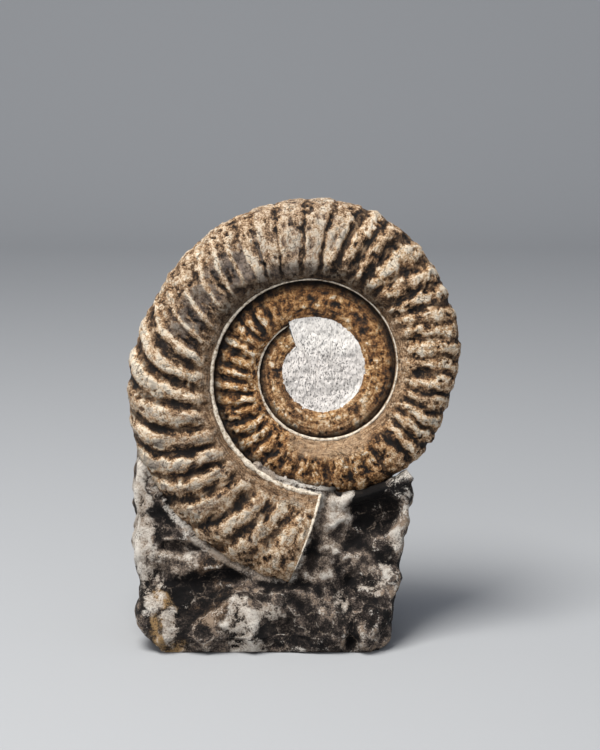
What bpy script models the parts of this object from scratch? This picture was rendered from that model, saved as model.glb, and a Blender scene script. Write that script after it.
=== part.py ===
"""A ribbed ammonite fossil that stands on the block of limestone it was found in.

Three solids make the object: the coiled fossil shell, the rock that fills the open
middle of the coil, and the flat-bottomed block of rock that holds the lower part of
the coil. The coil is a logarithmic spiral with a superellipse for its cross-section,
so every whorl is a scaled copy of the one before it.

Frame: +Z up, -Y is the side that the coil shows. The origin is on the flat base of
the block, and Blender units are metres.
"""

import math

import bmesh
import bpy
from mathutils import Matrix, Vector

MM = 0.001

# The coil
APERTURE_RADIUS = 75.0 * MM  # coil axis to the outer edge of the whorl at its mouth
GROWTH_PER_RADIAN = 0.09244  # natural log of the radius gained in one radian
COIL_DEGREES = 859.5  # from the broken inner end to the mouth
APERTURE_ANGLE = -88.5  # direction of the mouth from the axis, from +X towards +Z
COIL_CENTRE = Vector((18.2, 8.0, 92.8)) * MM
COIL_TILT = 8.0  # degrees that the coil leans back

# Where pressure in the rock has pushed the last whorl's outer edge off its spiral:
# (degrees back from the mouth, spread in degrees, share of the radius)
PUSHED = ((102.0, 22.0, -0.025), (187.0, 32.0, 0.05), (274.0, 20.0, -0.03))

# The whorl's cross-section, as shares of the radius to its outer edge
SECTION_CENTRE = 0.772
SECTION_HALF_WIDTH = 0.200
SECTION_POWER = 2.6

# The ribs
RIBS_PER_TURN = 39
RIB_HEIGHT = 0.0085  # share of the radius to the outer edge
RIB_LEAN = 16.0  # degrees that a rib leans back from the radial direction
SMOOTH_WALL = 0.16  # share of the flank, next to the inner seam, that has no ribs

# How finely the coil is divided
STEPS_PER_RIB = 4
FLANK_STEPS = 5
VENTER_STEPS = 4
WALL_STEPS = 2

# The rock in the middle of the coil
PLUG_HALF_THICKNESS = 3.0 * MM
PLUG_DISH = 0.9 * MM  # how far its faces sink in the middle
PLUG_STEP = 3  # coil steps to one step of the plug's rim
PLUG_RINGS = (0.7, 0.35)  # rings on each face, as shares of the rim's radius

# The block
BLOCK_LEFT, BLOCK_RIGHT = -50.0, 56.0  # mm, before its ends are broken to shape
BLOCK_PROFILE = (  # the block's side view, (y, z) in mm
    (-20.0, 0.0),
    (-22.5, 6.0),
    (-19.0, 14.0),
    (-11.5, 22.0),
    (-8.0, 44.0),
    (-4.5, 62.0),
    (5.0, 67.0),
    (20.0, 64.0),
    (27.0, 48.0),
    (28.0, 20.0),
    (25.0, 0.0),
)
BLOCK_BREAKS = (  # planes that break its ends to shape: (point, outward normal), in mm
    ((-42.2, 0.0, 0.0), (-1.0, 0.0, -0.045)),  # left end
    ((-44.6, 0.0, 48.0), (-1.0, 0.0, 0.03)),
    ((41.5, 0.0, 0.0), (1.0, 0.0, -0.15)),  # right end
    ((49.0, 0.0, 52.0), (1.0, 0.0, -0.12)),
    ((-38.0, -20.0, 0.0), (-0.8, -1.0, -0.05)),  # front corners
    ((36.0, -20.0, 0.0), (0.9, -1.0, -0.25)),
    ((-37.0, 26.0, 0.0), (-1.0, 0.9, 0.05)),  # back corners
    ((35.0, 26.0, 0.0), (1.0, 0.8, 0.1)),
    ((-38.0, 0.0, 1.0), (-0.85, -0.1, -0.6)),  # feet
    ((39.5, 0.0, 0.5), (0.86, 0.0, -0.5)),
    ((-42.0, 0.0, 66.0), (-0.5, -0.1, 1.0)),  # shoulders, where it meets the coil
    ((49.0, 0.0, 65.0), (0.5, 0.1, 1.0)),
    ((10.0, 22.0, 64.0), (0.1, 1.0, 1.1)),
)

FIT_GAP = 0.4 * MM  # room left between touching solids
COLOURS = {
    "ammonite_shell": ((0.22, 0.14, 0.08), 0.62),
    "umbilicus_matrix": ((0.55, 0.53, 0.49), 0.85),
    "matrix_block": ((0.10, 0.095, 0.095), 0.75),
}


def section_half_width(rho):
    """Half the whorl's thickness at a share rho of its outer radius."""
    across = abs((rho - SECTION_CENTRE) / (1.0 - SECTION_CENTRE))
    power = SECTION_POWER
    return SECTION_HALF_WIDTH * max(0.0, 1.0 - across**power) ** (1.0 / power)


def section_point(angle):
    """(share of the outer radius, half width) at an angle from the outer edge."""
    power = 2.0 / SECTION_POWER
    along, across = math.cos(angle), math.sin(angle)
    rho = SECTION_CENTRE + (1.0 - SECTION_CENTRE) * math.copysign(abs(along) ** power, along)
    return rho, SECTION_HALF_WIDTH * math.copysign(abs(across) ** power, across)


def section_angle(rho):
    """The section angle, on the front side, of the point at a share rho."""
    along = (rho - SECTION_CENTRE) / (1.0 - SECTION_CENTRE)
    return math.acos(math.copysign(abs(along) ** (SECTION_POWER / 2.0), along))


def seam_share(ratio):
    """Where the section meets its own copy that is smaller by ratio, by bisection."""
    low, high = 2.0 * SECTION_CENTRE - 1.0, 1.0 / ratio
    for _ in range(60):
        middle = (low + high) / 2.0
        if section_half_width(middle) < section_half_width(middle * ratio) / ratio:
            low = middle
        else:
            high = middle
    return middle


def solve_turn():
    """(angle between a seam and the next, seam's share of the outer radius).

    A rib leans back by a constant angle, so a line along it is a spiral too, and it
    meets the next seam a little before a full turn.
    """
    lean = math.tan(math.radians(RIB_LEAN))
    turn = 2.0 * math.pi / (1.0 + lean * GROWTH_PER_RADIAN)
    return turn, seam_share(math.exp(GROWTH_PER_RADIAN * turn))


TURN, SEAM = solve_turn()
RATIO = math.exp(GROWTH_PER_RADIAN * TURN)
SEAM_ANGLE_IN = section_angle(SEAM)
SEAM_ANGLE_OUT = section_angle(SEAM * RATIO)


def coil_point(angle, rho, width):
    """A point of the coil in its own plane, X right, Z up, Y away from the front."""
    radius = APERTURE_RADIUS * math.exp(GROWTH_PER_RADIAN * angle)
    lean = math.tan(math.radians(RIB_LEAN)) * math.log(rho / SEAM)
    turned = math.radians(APERTURE_ANGLE) + angle - lean
    reach = radius * rho
    return Vector((reach * math.cos(turned), -radius * width, reach * math.sin(turned)))


def rib_relief(step, steps_per_rib, rho, rib_height):
    """How far a rib lifts the section outward, as a share of the outer radius."""
    along_flank = (rho - SEAM) / (1.0 - SEAM)
    rise = min(1.0, max(0.0, (along_flank - SMOOTH_WALL) / 0.25))
    wave = math.cos(2.0 * math.pi * step / steps_per_rib)
    return rib_height * wave * rise * rise * (3.0 - 2.0 * rise)


def push(angle, rho):
    """How far the outer edge is off its spiral here, as a share of the outer radius."""
    back = -math.degrees(angle)
    total = sum(
        share * math.exp(-(((back - middle) / extent) ** 2)) for middle, extent, share in PUSHED
    )
    outward = min(1.0, max(0.0, (rho - SECTION_CENTRE) / (1.0 - SECTION_CENTRE)))
    return total * outward if angle > -TURN else 0.0


def section_ring(section_angles, angle, step, steps_per_rib, rib_height):
    """The coil's points at these section angles, with the ribs' relief added."""
    points = []
    for section in section_angles:
        rho, width = section_point(section)
        relief = rib_relief(step, steps_per_rib, rho, rib_height)
        rho += relief * math.cos(section) + push(angle, rho)
        width += relief * math.sin(section)
        points.append(coil_point(angle, rho, width))
    return points


def spread(first, last, steps):
    """The angles from first to last in equal steps, both ends included."""
    return [first + (last - first) * n / steps for n in range(steps + 1)]


def build_coil(steps_per_rib, rib_height, swell=0.0):
    """One closed surface of the whole coil, whose whorls share their seams."""
    per_turn = RIBS_PER_TURN * steps_per_rib
    step_angle = TURN / per_turn
    last = round(math.radians(COIL_DEGREES) / step_angle)
    flank_angles = spread(SEAM_ANGLE_IN, SEAM_ANGLE_OUT, FLANK_STEPS)
    venter_angles = spread(SEAM_ANGLE_OUT, -SEAM_ANGLE_OUT, VENTER_STEPS)
    wall_angles = spread(SEAM_ANGLE_IN, 2.0 * math.pi - SEAM_ANGLE_IN, WALL_STEPS)

    bm = bmesh.new()
    fronts, backs = [], []
    for step in range(last + 1):
        angle = (step - last) * step_angle
        for side, columns in ((1.0, fronts), (-1.0, backs)):
            angles = [side * section for section in flank_angles]
            points = section_ring(angles, angle, step, steps_per_rib, rib_height)
            column = [bm.verts.new(point) for point in points[1:]]
            if step >= per_turn:
                inner = columns[step - per_turn][-1]
            else:
                inner = bm.verts.new(points[0])
            columns.append([inner, *column])

    def arc(step, section_angles):
        """The points strictly between the front and back ends of an arc, in order."""
        angle = (step - last) * step_angle
        inside = section_angles[1:-1]
        points = section_ring(inside, angle, step, steps_per_rib, rib_height)
        return [bm.verts.new(point) for point in points]

    def skin(columns):
        """Quads between each column of vertices and the next."""
        for near, far in zip(columns, columns[1:]):
            for n in range(len(near) - 1):
                bm.faces.new((near[n], near[n + 1], far[n + 1], far[n]))

    skin(fronts)
    skin(backs)
    venters = [
        [fronts[step][-1], *arc(step, venter_angles), backs[step][-1]]
        for step in range(last - per_turn, last + 1)
    ]
    skin(venters)
    walls = [
        [fronts[step][0], *arc(step, wall_angles), backs[step][0]]
        for step in range(per_turn + 1)
    ]
    skin(walls)

    def close_end(step, inner_arc, outer_arc):
        """A face across the whorl: a ladder from front to back, and its two ends."""
        front, back = fronts[step], backs[step]
        for n in range(1, FLANK_STEPS - 1):
            bm.faces.new((front[n], front[n + 1], back[n + 1], back[n]))
        bm.faces.new([*inner_arc, back[1], front[1]])
        bm.faces.new([*outer_arc, back[-2], front[-2]])

    close_end(last, venters[0], venters[-1])
    close_end(0, walls[0], walls[-1])

    bmesh.ops.recalc_face_normals(bm, faces=bm.faces)
    if swell:
        bm.normal_update()
        moves = [(vert, vert.normal * swell) for vert in bm.verts]
        for vert, move in moves:
            vert.co += move
    return bm


def stand_coil(bm):
    """Leans the coil back and lifts it to its place on the block."""
    tilt = Matrix.Rotation(math.radians(-COIL_TILT), 4, "X")
    bm.transform(Matrix.Translation(COIL_CENTRE) @ tilt)


def finish_object(name, bm):
    """A named object from a bmesh, with the material of that name."""
    mesh = bpy.data.meshes.new(name)
    bm.to_mesh(mesh)
    bm.free()
    mesh.shade_smooth()
    mesh.set_sharp_from_angle(angle=math.radians(35.0))
    obj = bpy.data.objects.new(name, mesh)
    bpy.context.scene.collection.objects.link(obj)
    if name in COLOURS:
        colour, roughness = COLOURS[name]
        material = bpy.data.materials.new(name)
        material.use_nodes = True
        shader = material.node_tree.nodes["Principled BSDF"]
        shader.inputs["Base Color"].default_value = (*colour, 1.0)
        shader.inputs["Roughness"].default_value = roughness
        shader.inputs["Metallic"].default_value = 0.0
        mesh.materials.append(material)
    return obj


def wall_reach(angle, depth):
    """How far the coil's inner wall is from the axis at a depth from the middle."""
    radius = APERTURE_RADIUS * math.exp(GROWTH_PER_RADIAN * angle)
    share = min(0.98, abs(depth) / radius / SECTION_HALF_WIDTH)
    across = (1.0 - share**SECTION_POWER) ** (1.0 / SECTION_POWER)
    return radius * (SECTION_CENTRE - (1.0 - SECTION_CENTRE) * across)


def build_plug():
    """The rock in the middle of the coil: a dished disc with a spiral rim.

    Its rim follows the wall of the first whorl for one turn, and then steps in along
    the whorl's broken end.
    """
    steps_per_turn = RIBS_PER_TURN * STEPS_PER_RIB
    step_angle = TURN / steps_per_turn
    start = -round(math.radians(COIL_DEGREES) / step_angle) * step_angle
    inner_gap = FIT_GAP / wall_reach(start, 0.0)
    outer_gap = FIT_GAP / wall_reach(start + TURN, 0.0)
    angles = [start + n * step_angle for n in range(PLUG_STEP, steps_per_turn, PLUG_STEP)]
    angles = [start - inner_gap, *angles, start + TURN - outer_gap]
    lean = math.tan(math.radians(RIB_LEAN))
    depths = (-PLUG_HALF_THICKNESS, 0.0, PLUG_HALF_THICKNESS)
    bm = bmesh.new()

    def rim_point(angle, depth, share=1.0):
        reach = wall_reach(angle, depth) - FIT_GAP
        radius = APERTURE_RADIUS * math.exp(GROWTH_PER_RADIAN * angle)
        turned = math.radians(APERTURE_ANGLE) + angle - lean * math.log(reach / radius / SEAM)
        dish = PLUG_DISH * (1.0 - share * share)
        y = depth - math.copysign(dish, depth) if depth else 0.0
        reach *= share
        return Vector((reach * math.cos(turned), y, reach * math.sin(turned)))

    rings = [[bm.verts.new(rim_point(angle, depth)) for angle in angles] for depth in depths]
    for share in PLUG_RINGS:
        rings.insert(0, [bm.verts.new(rim_point(a, depths[0], share)) for a in angles])
        rings.append([bm.verts.new(rim_point(a, depths[-1], share)) for a in angles])
    for near, far in zip(rings, rings[1:]):
        for n in range(len(angles)):
            after = (n + 1) % len(angles)
            bm.faces.new((near[n], near[after], far[after], far[n]))
    for ring, depth in ((rings[0], depths[0]), (rings[-1], depths[-1])):
        middle = bm.verts.new((0.0, depth - math.copysign(PLUG_DISH, depth), 0.0))
        for n in range(len(angles)):
            bm.faces.new((ring[n], ring[(n + 1) % len(angles)], middle))
    bmesh.ops.recalc_face_normals(bm, faces=bm.faces)
    return bm


def build_block():
    """The block: its side view pulled along X, then broken along planes."""
    bm = bmesh.new()
    outline = [bm.verts.new(Vector((BLOCK_LEFT, y, z)) * MM) for y, z in BLOCK_PROFILE]
    end = bm.faces.new(outline)
    pulled = bmesh.ops.extrude_face_region(bm, geom=[end])["geom"]
    moved = [item for item in pulled if isinstance(item, bmesh.types.BMVert)]
    length = (BLOCK_RIGHT - BLOCK_LEFT) * MM
    bmesh.ops.translate(bm, verts=moved, vec=(length, 0.0, 0.0))
    for point, normal in BLOCK_BREAKS:
        bmesh.ops.bisect_plane(
            bm,
            geom=[*bm.verts, *bm.edges, *bm.faces],
            plane_co=Vector(point) * MM,
            plane_no=Vector(normal).normalized(),
            clear_outer=True,
        )
        open_edges = [edge for edge in bm.edges if edge.is_boundary]
        bmesh.ops.holes_fill(bm, edges=open_edges, sides=0)
    bmesh.ops.recalc_face_normals(bm, faces=bm.faces)
    return bm


def main():
    for obj in list(bpy.data.objects):
        bpy.data.objects.remove(obj)

    coil = build_coil(STEPS_PER_RIB, RIB_HEIGHT)
    stand_coil(coil)
    finish_object("ammonite_shell", coil)

    plug = build_plug()
    stand_coil(plug)
    finish_object("umbilicus_matrix", plug)

    room = RIB_HEIGHT * APERTURE_RADIUS + FIT_GAP
    hollow = build_coil(STEPS_PER_RIB // 2, 0.0, swell=room)
    stand_coil(hollow)
    cutter = finish_object("coil_hollow", hollow)
    cutter.hide_render = True
    cutter.display_type = "WIRE"

    block = finish_object("matrix_block", build_block())
    cut = block.modifiers.new("coil_hollow", "BOOLEAN")
    cut.operation = "DIFFERENCE"
    cut.solver = "EXACT"
    cut.object = cutter


main()
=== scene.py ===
"""The looks of a ribbed ammonite fossil that stands on the block of limestone it was found in.

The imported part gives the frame: a coiled shell, the rock in its open middle, and the block.
Finer pieces stand for all three, and a thin ridge of rock is added along the coil's seam.
Lengths are metres unless a name says otherwise. +Z is up and -Y is the side the coil shows.
"""

import logging
import math
from dataclasses import dataclass, field
from enum import Enum
from functools import cached_property
from typing import Any, Sequence

import bmesh
import bpy
from mathutils import Matrix, Vector, noise
from mathutils.bvhtree import BVHTree


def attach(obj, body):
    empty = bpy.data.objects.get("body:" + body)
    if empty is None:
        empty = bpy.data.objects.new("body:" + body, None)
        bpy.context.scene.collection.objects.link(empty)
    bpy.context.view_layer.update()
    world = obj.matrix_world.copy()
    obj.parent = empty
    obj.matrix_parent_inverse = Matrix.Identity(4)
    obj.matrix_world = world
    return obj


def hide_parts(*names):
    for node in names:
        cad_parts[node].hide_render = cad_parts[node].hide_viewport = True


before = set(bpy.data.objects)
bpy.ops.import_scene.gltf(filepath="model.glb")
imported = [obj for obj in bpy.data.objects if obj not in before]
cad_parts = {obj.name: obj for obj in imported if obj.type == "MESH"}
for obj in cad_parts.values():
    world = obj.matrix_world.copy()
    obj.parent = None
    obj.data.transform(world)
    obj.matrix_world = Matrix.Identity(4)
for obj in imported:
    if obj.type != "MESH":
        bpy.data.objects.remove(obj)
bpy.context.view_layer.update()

MM = 0.001
BODY = "root"
# The tracks of the coil's finish go by the share of this many turns back from the mouth
TRACK_TURNS = 2.4
log = logging.getLogger("ammonite")

Colour = tuple[float, float, float]
Pair = tuple[float, float]
Track = tuple[Pair, ...]


# ---------------------------------------------------------------- node trees as expressions


@dataclass(frozen=True)
class Wire:
    """The output of a node, which takes part in Python expressions."""

    graph: "Graph"
    socket: bpy.types.NodeSocket

    def __add__(self, other: Any) -> "Wire":
        """Sum."""
        return self.graph.math("ADD", self, other)

    def __radd__(self, other: Any) -> "Wire":
        """Sum, reflected."""
        return self.graph.math("ADD", other, self)

    def __sub__(self, other: Any) -> "Wire":
        """Difference."""
        return self.graph.math("SUBTRACT", self, other)

    def __rsub__(self, other: Any) -> "Wire":
        """Difference, reflected."""
        return self.graph.math("SUBTRACT", other, self)

    def __mul__(self, other: Any) -> "Wire":
        """Product."""
        return self.graph.math("MULTIPLY", self, other)

    def __rmul__(self, other: Any) -> "Wire":
        """Product, reflected."""
        return self.graph.math("MULTIPLY", other, self)

    def __truediv__(self, other: Any) -> "Wire":
        """Quotient."""
        return self.graph.math("DIVIDE", self, other)

    def __rtruediv__(self, other: Any) -> "Wire":
        """Quotient, reflected."""
        return self.graph.math("DIVIDE", other, self)

    def __pow__(self, other: Any) -> "Wire":
        """Power."""
        return self.graph.math("POWER", self, other)

    def __abs__(self) -> "Wire":
        """Absolute value."""
        return self.graph.math("ABSOLUTE", self)

    def clamp(self, low: float = 0.0, high: float = 1.0) -> "Wire":
        """The value kept between two limits."""
        limits = {"Value": self, "Min": low, "Max": high}
        return self.graph.out("ShaderNodeClamp", {}, limits)

    def smooth(self, low: float, high: float) -> "Wire":
        """0 at low, 1 at high and an easy curve between; high may be under low."""
        ends = {"Value": self, "From Min": low, "From Max": high}
        return self.graph.out("ShaderNodeMapRange", {"interpolation_type": "SMOOTHSTEP"}, ends)

    def swing(self, weight: Any) -> "Wire":
        """Noise from 0 to 1, turned to noise about 0 and times a weight."""
        return (self - 0.5) * weight


class Graph:
    """Adds nodes to one tree, a material's or a geometry tree alike."""

    def __init__(self, tree: bpy.types.NodeTree) -> None:
        """Keeps the tree that the nodes go into."""
        self.tree = tree

    def feed(self, socket: bpy.types.NodeSocket, value: Any) -> None:
        """Links a wire to a socket, or sets the socket's own value.

        Args:
            socket: The input to fill.
            value: A wire, a plain value, or None to leave it.
        """
        if isinstance(value, Wire):
            self.tree.links.new(value.socket, socket)
        elif value is not None:
            socket.default_value = value

    def node(self, kind: str, settings: dict[str, Any], sockets: dict[Any, Any]) -> bpy.types.Node:
        """Adds one node.

        Args:
            kind: The node's type.
            settings: Its own properties, set before its sockets.
            sockets: Values or wires for its inputs, by name or number.

        Returns:
            The node.
        """
        made = self.tree.nodes.new(kind)
        for name, value in settings.items():
            setattr(made, name, value)
        for socket, value in sockets.items():
            self.feed(made.inputs[socket], value)
        return made

    def out(self, kind: str, settings: dict[str, Any], sockets: dict[Any, Any], output: Any = 0) -> Wire:
        """Adds one node and gives one of its outputs."""
        return Wire(self, self.node(kind, settings, sockets).outputs[output])

    def math(self, operation: str, *values: Any) -> Wire:
        """One step of arithmetic."""
        return self.out("ShaderNodeMath", {"operation": operation}, dict(enumerate(values)))

    def vector(self, operation: str, *values: Any) -> Wire:
        """One step of vector arithmetic, with a vector as its result."""
        return self.out("ShaderNodeVectorMath", {"operation": operation}, dict(enumerate(values)))

    def measure(self, operation: str, *values: Any) -> Wire:
        """One step of vector arithmetic, with a number as its result."""
        sockets = dict(enumerate(values))
        return self.out("ShaderNodeVectorMath", {"operation": operation}, sockets, "Value")

    def scaled(self, vector: Wire, amount: Any) -> Wire:
        """A vector times a number."""
        return self.out("ShaderNodeVectorMath", {"operation": "SCALE"}, {0: vector, "Scale": amount})

    def join(self, x: Any, y: Any, z: Any) -> Wire:
        """A vector from three numbers."""
        return self.out("ShaderNodeCombineXYZ", {}, {0: x, 1: y, 2: z})

    def split(self, vector: Wire) -> tuple[Wire, Wire, Wire]:
        """The three numbers of a vector."""
        made = self.node("ShaderNodeSeparateXYZ", {}, {0: vector})
        return Wire(self, made.outputs[0]), Wire(self, made.outputs[1]), Wire(self, made.outputs[2])

    def mix(self, share: Any, first: Any, second: Any) -> Wire:
        """Two colours mixed by a share of the second."""
        colours = [(*c, 1.0) if isinstance(c, tuple) else c for c in (first, second)]
        return self.out("ShaderNodeMix", {"data_type": "RGBA"}, {0: share, 6: colours[0], 7: colours[1]}, 2)

    def between(self, share: Any, first: Any, second: Any) -> Wire:
        """Two numbers mixed by a share of the second."""
        return self.out("ShaderNodeMix", {"data_type": "FLOAT"}, {0: share, 2: first, 3: second})

    def noise(self, point: Wire, scale: Any, detail: float = 2.0, rough: float = 0.5) -> Wire:
        """Cloudy noise from 0 to 1 over a point."""
        sockets = {"Vector": point, "Scale": scale, "Detail": detail, "Roughness": rough}
        return self.out("ShaderNodeTexNoise", {}, sockets)

    def swayed(self, point: Wire, sway: "Sway") -> Wire:
        """A point moved by a sway of cloudy noise."""
        return self.vector("ADD", point, self.sway(point, sway))

    def sway(self, point: Wire, sway: "Sway") -> Wire:
        """A vector of cloudy noise, within half of the sway's reach of 0.

        Args:
            point: The point.
            sway: How fine the noise is, and its reach.

        Returns:
            The vector.
        """
        sockets = {"Vector": point, "Scale": sway.scale, "Detail": sway.detail}
        colour = self.out("ShaderNodeTexNoise", {}, sockets, "Color")
        return self.scaled(self.vector("SUBTRACT", colour, (0.5, 0.5, 0.5)), sway.reach)

    def cells(self, point: Wire, scale: float, feature: str = "F1") -> Wire:
        """The distance in cell noise over a point: to a cell's middle, or to its edge."""
        sockets = {"Vector": point, "Scale": scale}
        return self.out("ShaderNodeTexVoronoi", {"feature": feature}, sockets, "Distance")

    def lots(self, point: Wire, scale: float) -> Wire:
        """A vector for each cell of cell noise, the same all over the cell, within 0.5 of 0."""
        colour = self.out("ShaderNodeTexVoronoi", {}, {"Vector": point, "Scale": scale}, "Color")
        return self.vector("SUBTRACT", colour, (0.5, 0.5, 0.5))

    def ramp(self, value: Wire, places: Sequence[float], *colours: Colour) -> Wire:
        """A colour from a ramp.

        Args:
            value: Where to look on the ramp.
            places: Where its colours stand, from 0 to 1.
            colours: The colours.

        Returns:
            The colour.
        """
        made = self.node("ShaderNodeValToRGB", {}, {0: value})
        elements = made.color_ramp.elements
        while len(elements) < len(places):
            elements.new(1.0)
        for element, place, colour in zip(elements, places, colours):
            element.position = place
            element.color = (*colour, 1.0)
        return Wire(self, made.outputs[0])

    def curve(self, value: Wire, points: Sequence[Pair]) -> Wire:
        """A number read from a smooth curve through points from 0 to 1.

        Args:
            value: Where to look on the curve.
            points: Its points, from left to right.

        Returns:
            The number.
        """
        made = self.node("ShaderNodeFloatCurve", {}, {"Value": value})
        curve = made.mapping.curves[0]
        while len(curve.points) < len(points):
            curve.points.new(1.0, 1.0)
        for point, place in zip(curve.points, points):
            point.location = place
        made.mapping.update()
        return Wire(self, made.outputs[0])

    def store(self, geometry: Wire, name: str, value: Wire, domain: str) -> Wire:
        """A geometry with a number stored on its points or corners."""
        sockets = {"Geometry": geometry, "Name": name, "Value": value}
        return self.out("GeometryNodeStoreNamedAttribute", {"data_type": "FLOAT", "domain": domain}, sockets)

    def bump(self, height: Wire, distance: float, strength: float = 1.0, **normal: Wire) -> Wire:
        """A normal, the surface's own or a given one, that a height in shares of distance has bent."""
        sockets = {"Strength": strength, "Distance": distance, "Height": height, **normal}
        return self.out("ShaderNodeBump", {}, sockets)


@dataclass(frozen=True)
class Cloud:
    """Cloudy noise: how fine it is, how many finer layers it has and how strong they are."""

    scale: float = 1.0
    detail: float = 2.0
    rough: float = 0.5

    def over(self, graph: Graph, point: Wire) -> Wire:
        """The noise over a point, from 0 to 1."""
        return graph.noise(point, self.scale, self.detail, self.rough)


@dataclass(frozen=True)
class Sway:
    """How a point is moved by cloudy noise: how fine it is, its finer layers and its reach."""

    scale: float
    detail: float
    reach: float


class GrowthTree:
    """A geometry tree with named inputs, run once to give a plain mesh."""

    KINDS = {int: "NodeSocketInt", float: "NodeSocketFloat"}

    def __init__(self, name: str, material: bpy.types.Material, inputs: dict[str, Any]) -> None:
        """Starts a tree whose inputs have these names and values.

        Args:
            name: The tree's name.
            material: What the tree gives its geometry.
            inputs: The named inputs and their values.
        """
        self.tree = bpy.data.node_groups.new(name, "GeometryNodeTree")
        self.graph = Graph(self.tree)
        self.values = {**inputs, "Material": material}
        face = self.tree.interface
        face.new_socket("Geometry", in_out="OUTPUT", socket_type="NodeSocketGeometry")
        face.new_socket("Geometry", in_out="INPUT", socket_type="NodeSocketGeometry")
        for title, value in self.values.items():
            kind = self.KINDS.get(type(value), "NodeSocketMaterial")
            face.new_socket(title, in_out="INPUT", socket_type=kind)
        self.source = self.tree.nodes.new("NodeGroupInput")
        self.target = self.tree.nodes.new("NodeGroupOutput")

    def __getitem__(self, title: str) -> Wire:
        """The wire of a named input."""
        return Wire(self.graph, self.source.outputs[title])

    def finish(self, geometry: Wire) -> None:
        """Realizes a geometry, gives it the Material input, and ends the tree.

        Args:
            geometry: The geometry that was built.
        """
        whole = self.graph.out("GeometryNodeRealizeInstances", {}, {0: geometry})
        dressed = self.graph.out("GeometryNodeSetMaterial", {}, {0: whole, "Material": self["Material"]})
        self.graph.feed(self.target.inputs[0], dressed)

    def grow(self, name: str, base: bpy.types.Mesh | None = None) -> bpy.types.Mesh:
        """Runs the tree on a mesh, or on nothing, and gives the result as a plain mesh.

        Args:
            name: The name of the new mesh.
            base: The mesh that the tree starts from, if any.

        Returns:
            The mesh.
        """
        carrier = shown(name, base or bpy.data.meshes.new(name))
        modifier = carrier.modifiers.new(name, "NODES")
        modifier.node_group = self.tree
        for item in self.tree.interface.items_tree:
            if item.in_out == "INPUT" and item.name in self.values:
                modifier[item.identifier] = self.values[item.name]
        mesh = evaluated_mesh(carrier)
        carrier.modifiers.remove(modifier)
        bpy.data.objects.remove(carrier)
        return mesh


# ---------------------------------------------------------------- helpers for meshes


def shown(name: str, data: bpy.types.ID) -> bpy.types.Object:
    """Makes an object and links it to the scene.

    Args:
        name: The object's name.
        data: What it holds: a mesh, a light or a camera.

    Returns:
        The object.
    """
    obj = bpy.data.objects.new(name, data)
    bpy.context.scene.collection.objects.link(obj)
    return obj


def settle(bm: bmesh.types.BMesh, mesh: bpy.types.Mesh, placing: Matrix) -> None:
    """Turns a closed shape's faces outwards, puts it in place and writes it to a mesh.

    Args:
        bm: The shape, which is freed.
        mesh: The mesh that is written.
        placing: The shape's place.
    """
    bmesh.ops.recalc_face_normals(bm, faces=bm.faces)
    bm.transform(placing)
    bm.to_mesh(mesh)
    bm.free()
    mesh.shade_smooth()


def evaluated_mesh(obj: bpy.types.Object) -> bpy.types.Mesh:
    """The mesh of an object with its modifiers applied."""
    graph = bpy.context.evaluated_depsgraph_get()
    return bpy.data.meshes.new_from_object(obj.evaluated_get(graph), depsgraph=graph)


def smoothstep(low: float, high: float, value: float) -> float:
    """0 at low, 1 at high and an easy curve between."""
    share = min(1.0, max(0.0, (value - low) / (high - low)))
    return share * share * (3.0 - 2.0 * share)


def spread(first: float, last: float, steps: int) -> list[float]:
    """The values from first to last in equal steps, both ends included."""
    return [first + (last - first) * n / steps for n in range(steps + 1)]


def piece(name: str, mesh: bpy.types.Mesh, material: bpy.types.Material) -> bpy.types.Object:
    """Makes a finished piece of a mesh, and rides it on the part's one body.

    Args:
        name: The piece's name.
        mesh: Its mesh, already in place.
        material: Its material.

    Returns:
        The piece's object.
    """
    mesh.name = name
    mesh.materials.clear()
    mesh.materials.append(material)
    obj = shown(name, mesh)
    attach(obj, BODY)
    mesh.calc_loop_triangles()
    log.info("%s: %d triangles", name, len(mesh.loop_triangles))
    return obj


# ---------------------------------------------------------------- finishes


class Slot(Enum):
    """The record's material slots."""

    SHELL = "fossil_shell"
    TOOLED = "tooled_limestone"
    BROKEN = "broken_limestone"


class Finish:
    """A finish whose nodes are painted by the kind that it is."""

    def paint(self, graph: Graph) -> dict[str, Any]:
        """Values or wires for the shader's sockets."""
        raise NotImplementedError

    def make(self) -> bpy.types.Material:
        """Builds the material.

        Returns:
            The material.
        """
        material = bpy.data.materials.new(type(self).__name__)
        material.use_nodes = True
        graph = Graph(material.node_tree)
        shader = material.node_tree.nodes["Principled BSDF"]
        for socket, value in self.paint(graph).items():
            graph.feed(shader.inputs[socket], value)
        return material


def millimetres(graph: Graph) -> Wire:
    """The place on the object, in millimetres."""
    place = graph.out("ShaderNodeTexCoord", {}, {}, "Object")
    return graph.scaled(place, 1.0 / MM)


def attribute(graph: Graph, name: str) -> Wire:
    """A number stored on the mesh."""
    return graph.out("ShaderNodeAttribute", {"attribute_name": name}, {}, "Fac")


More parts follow.
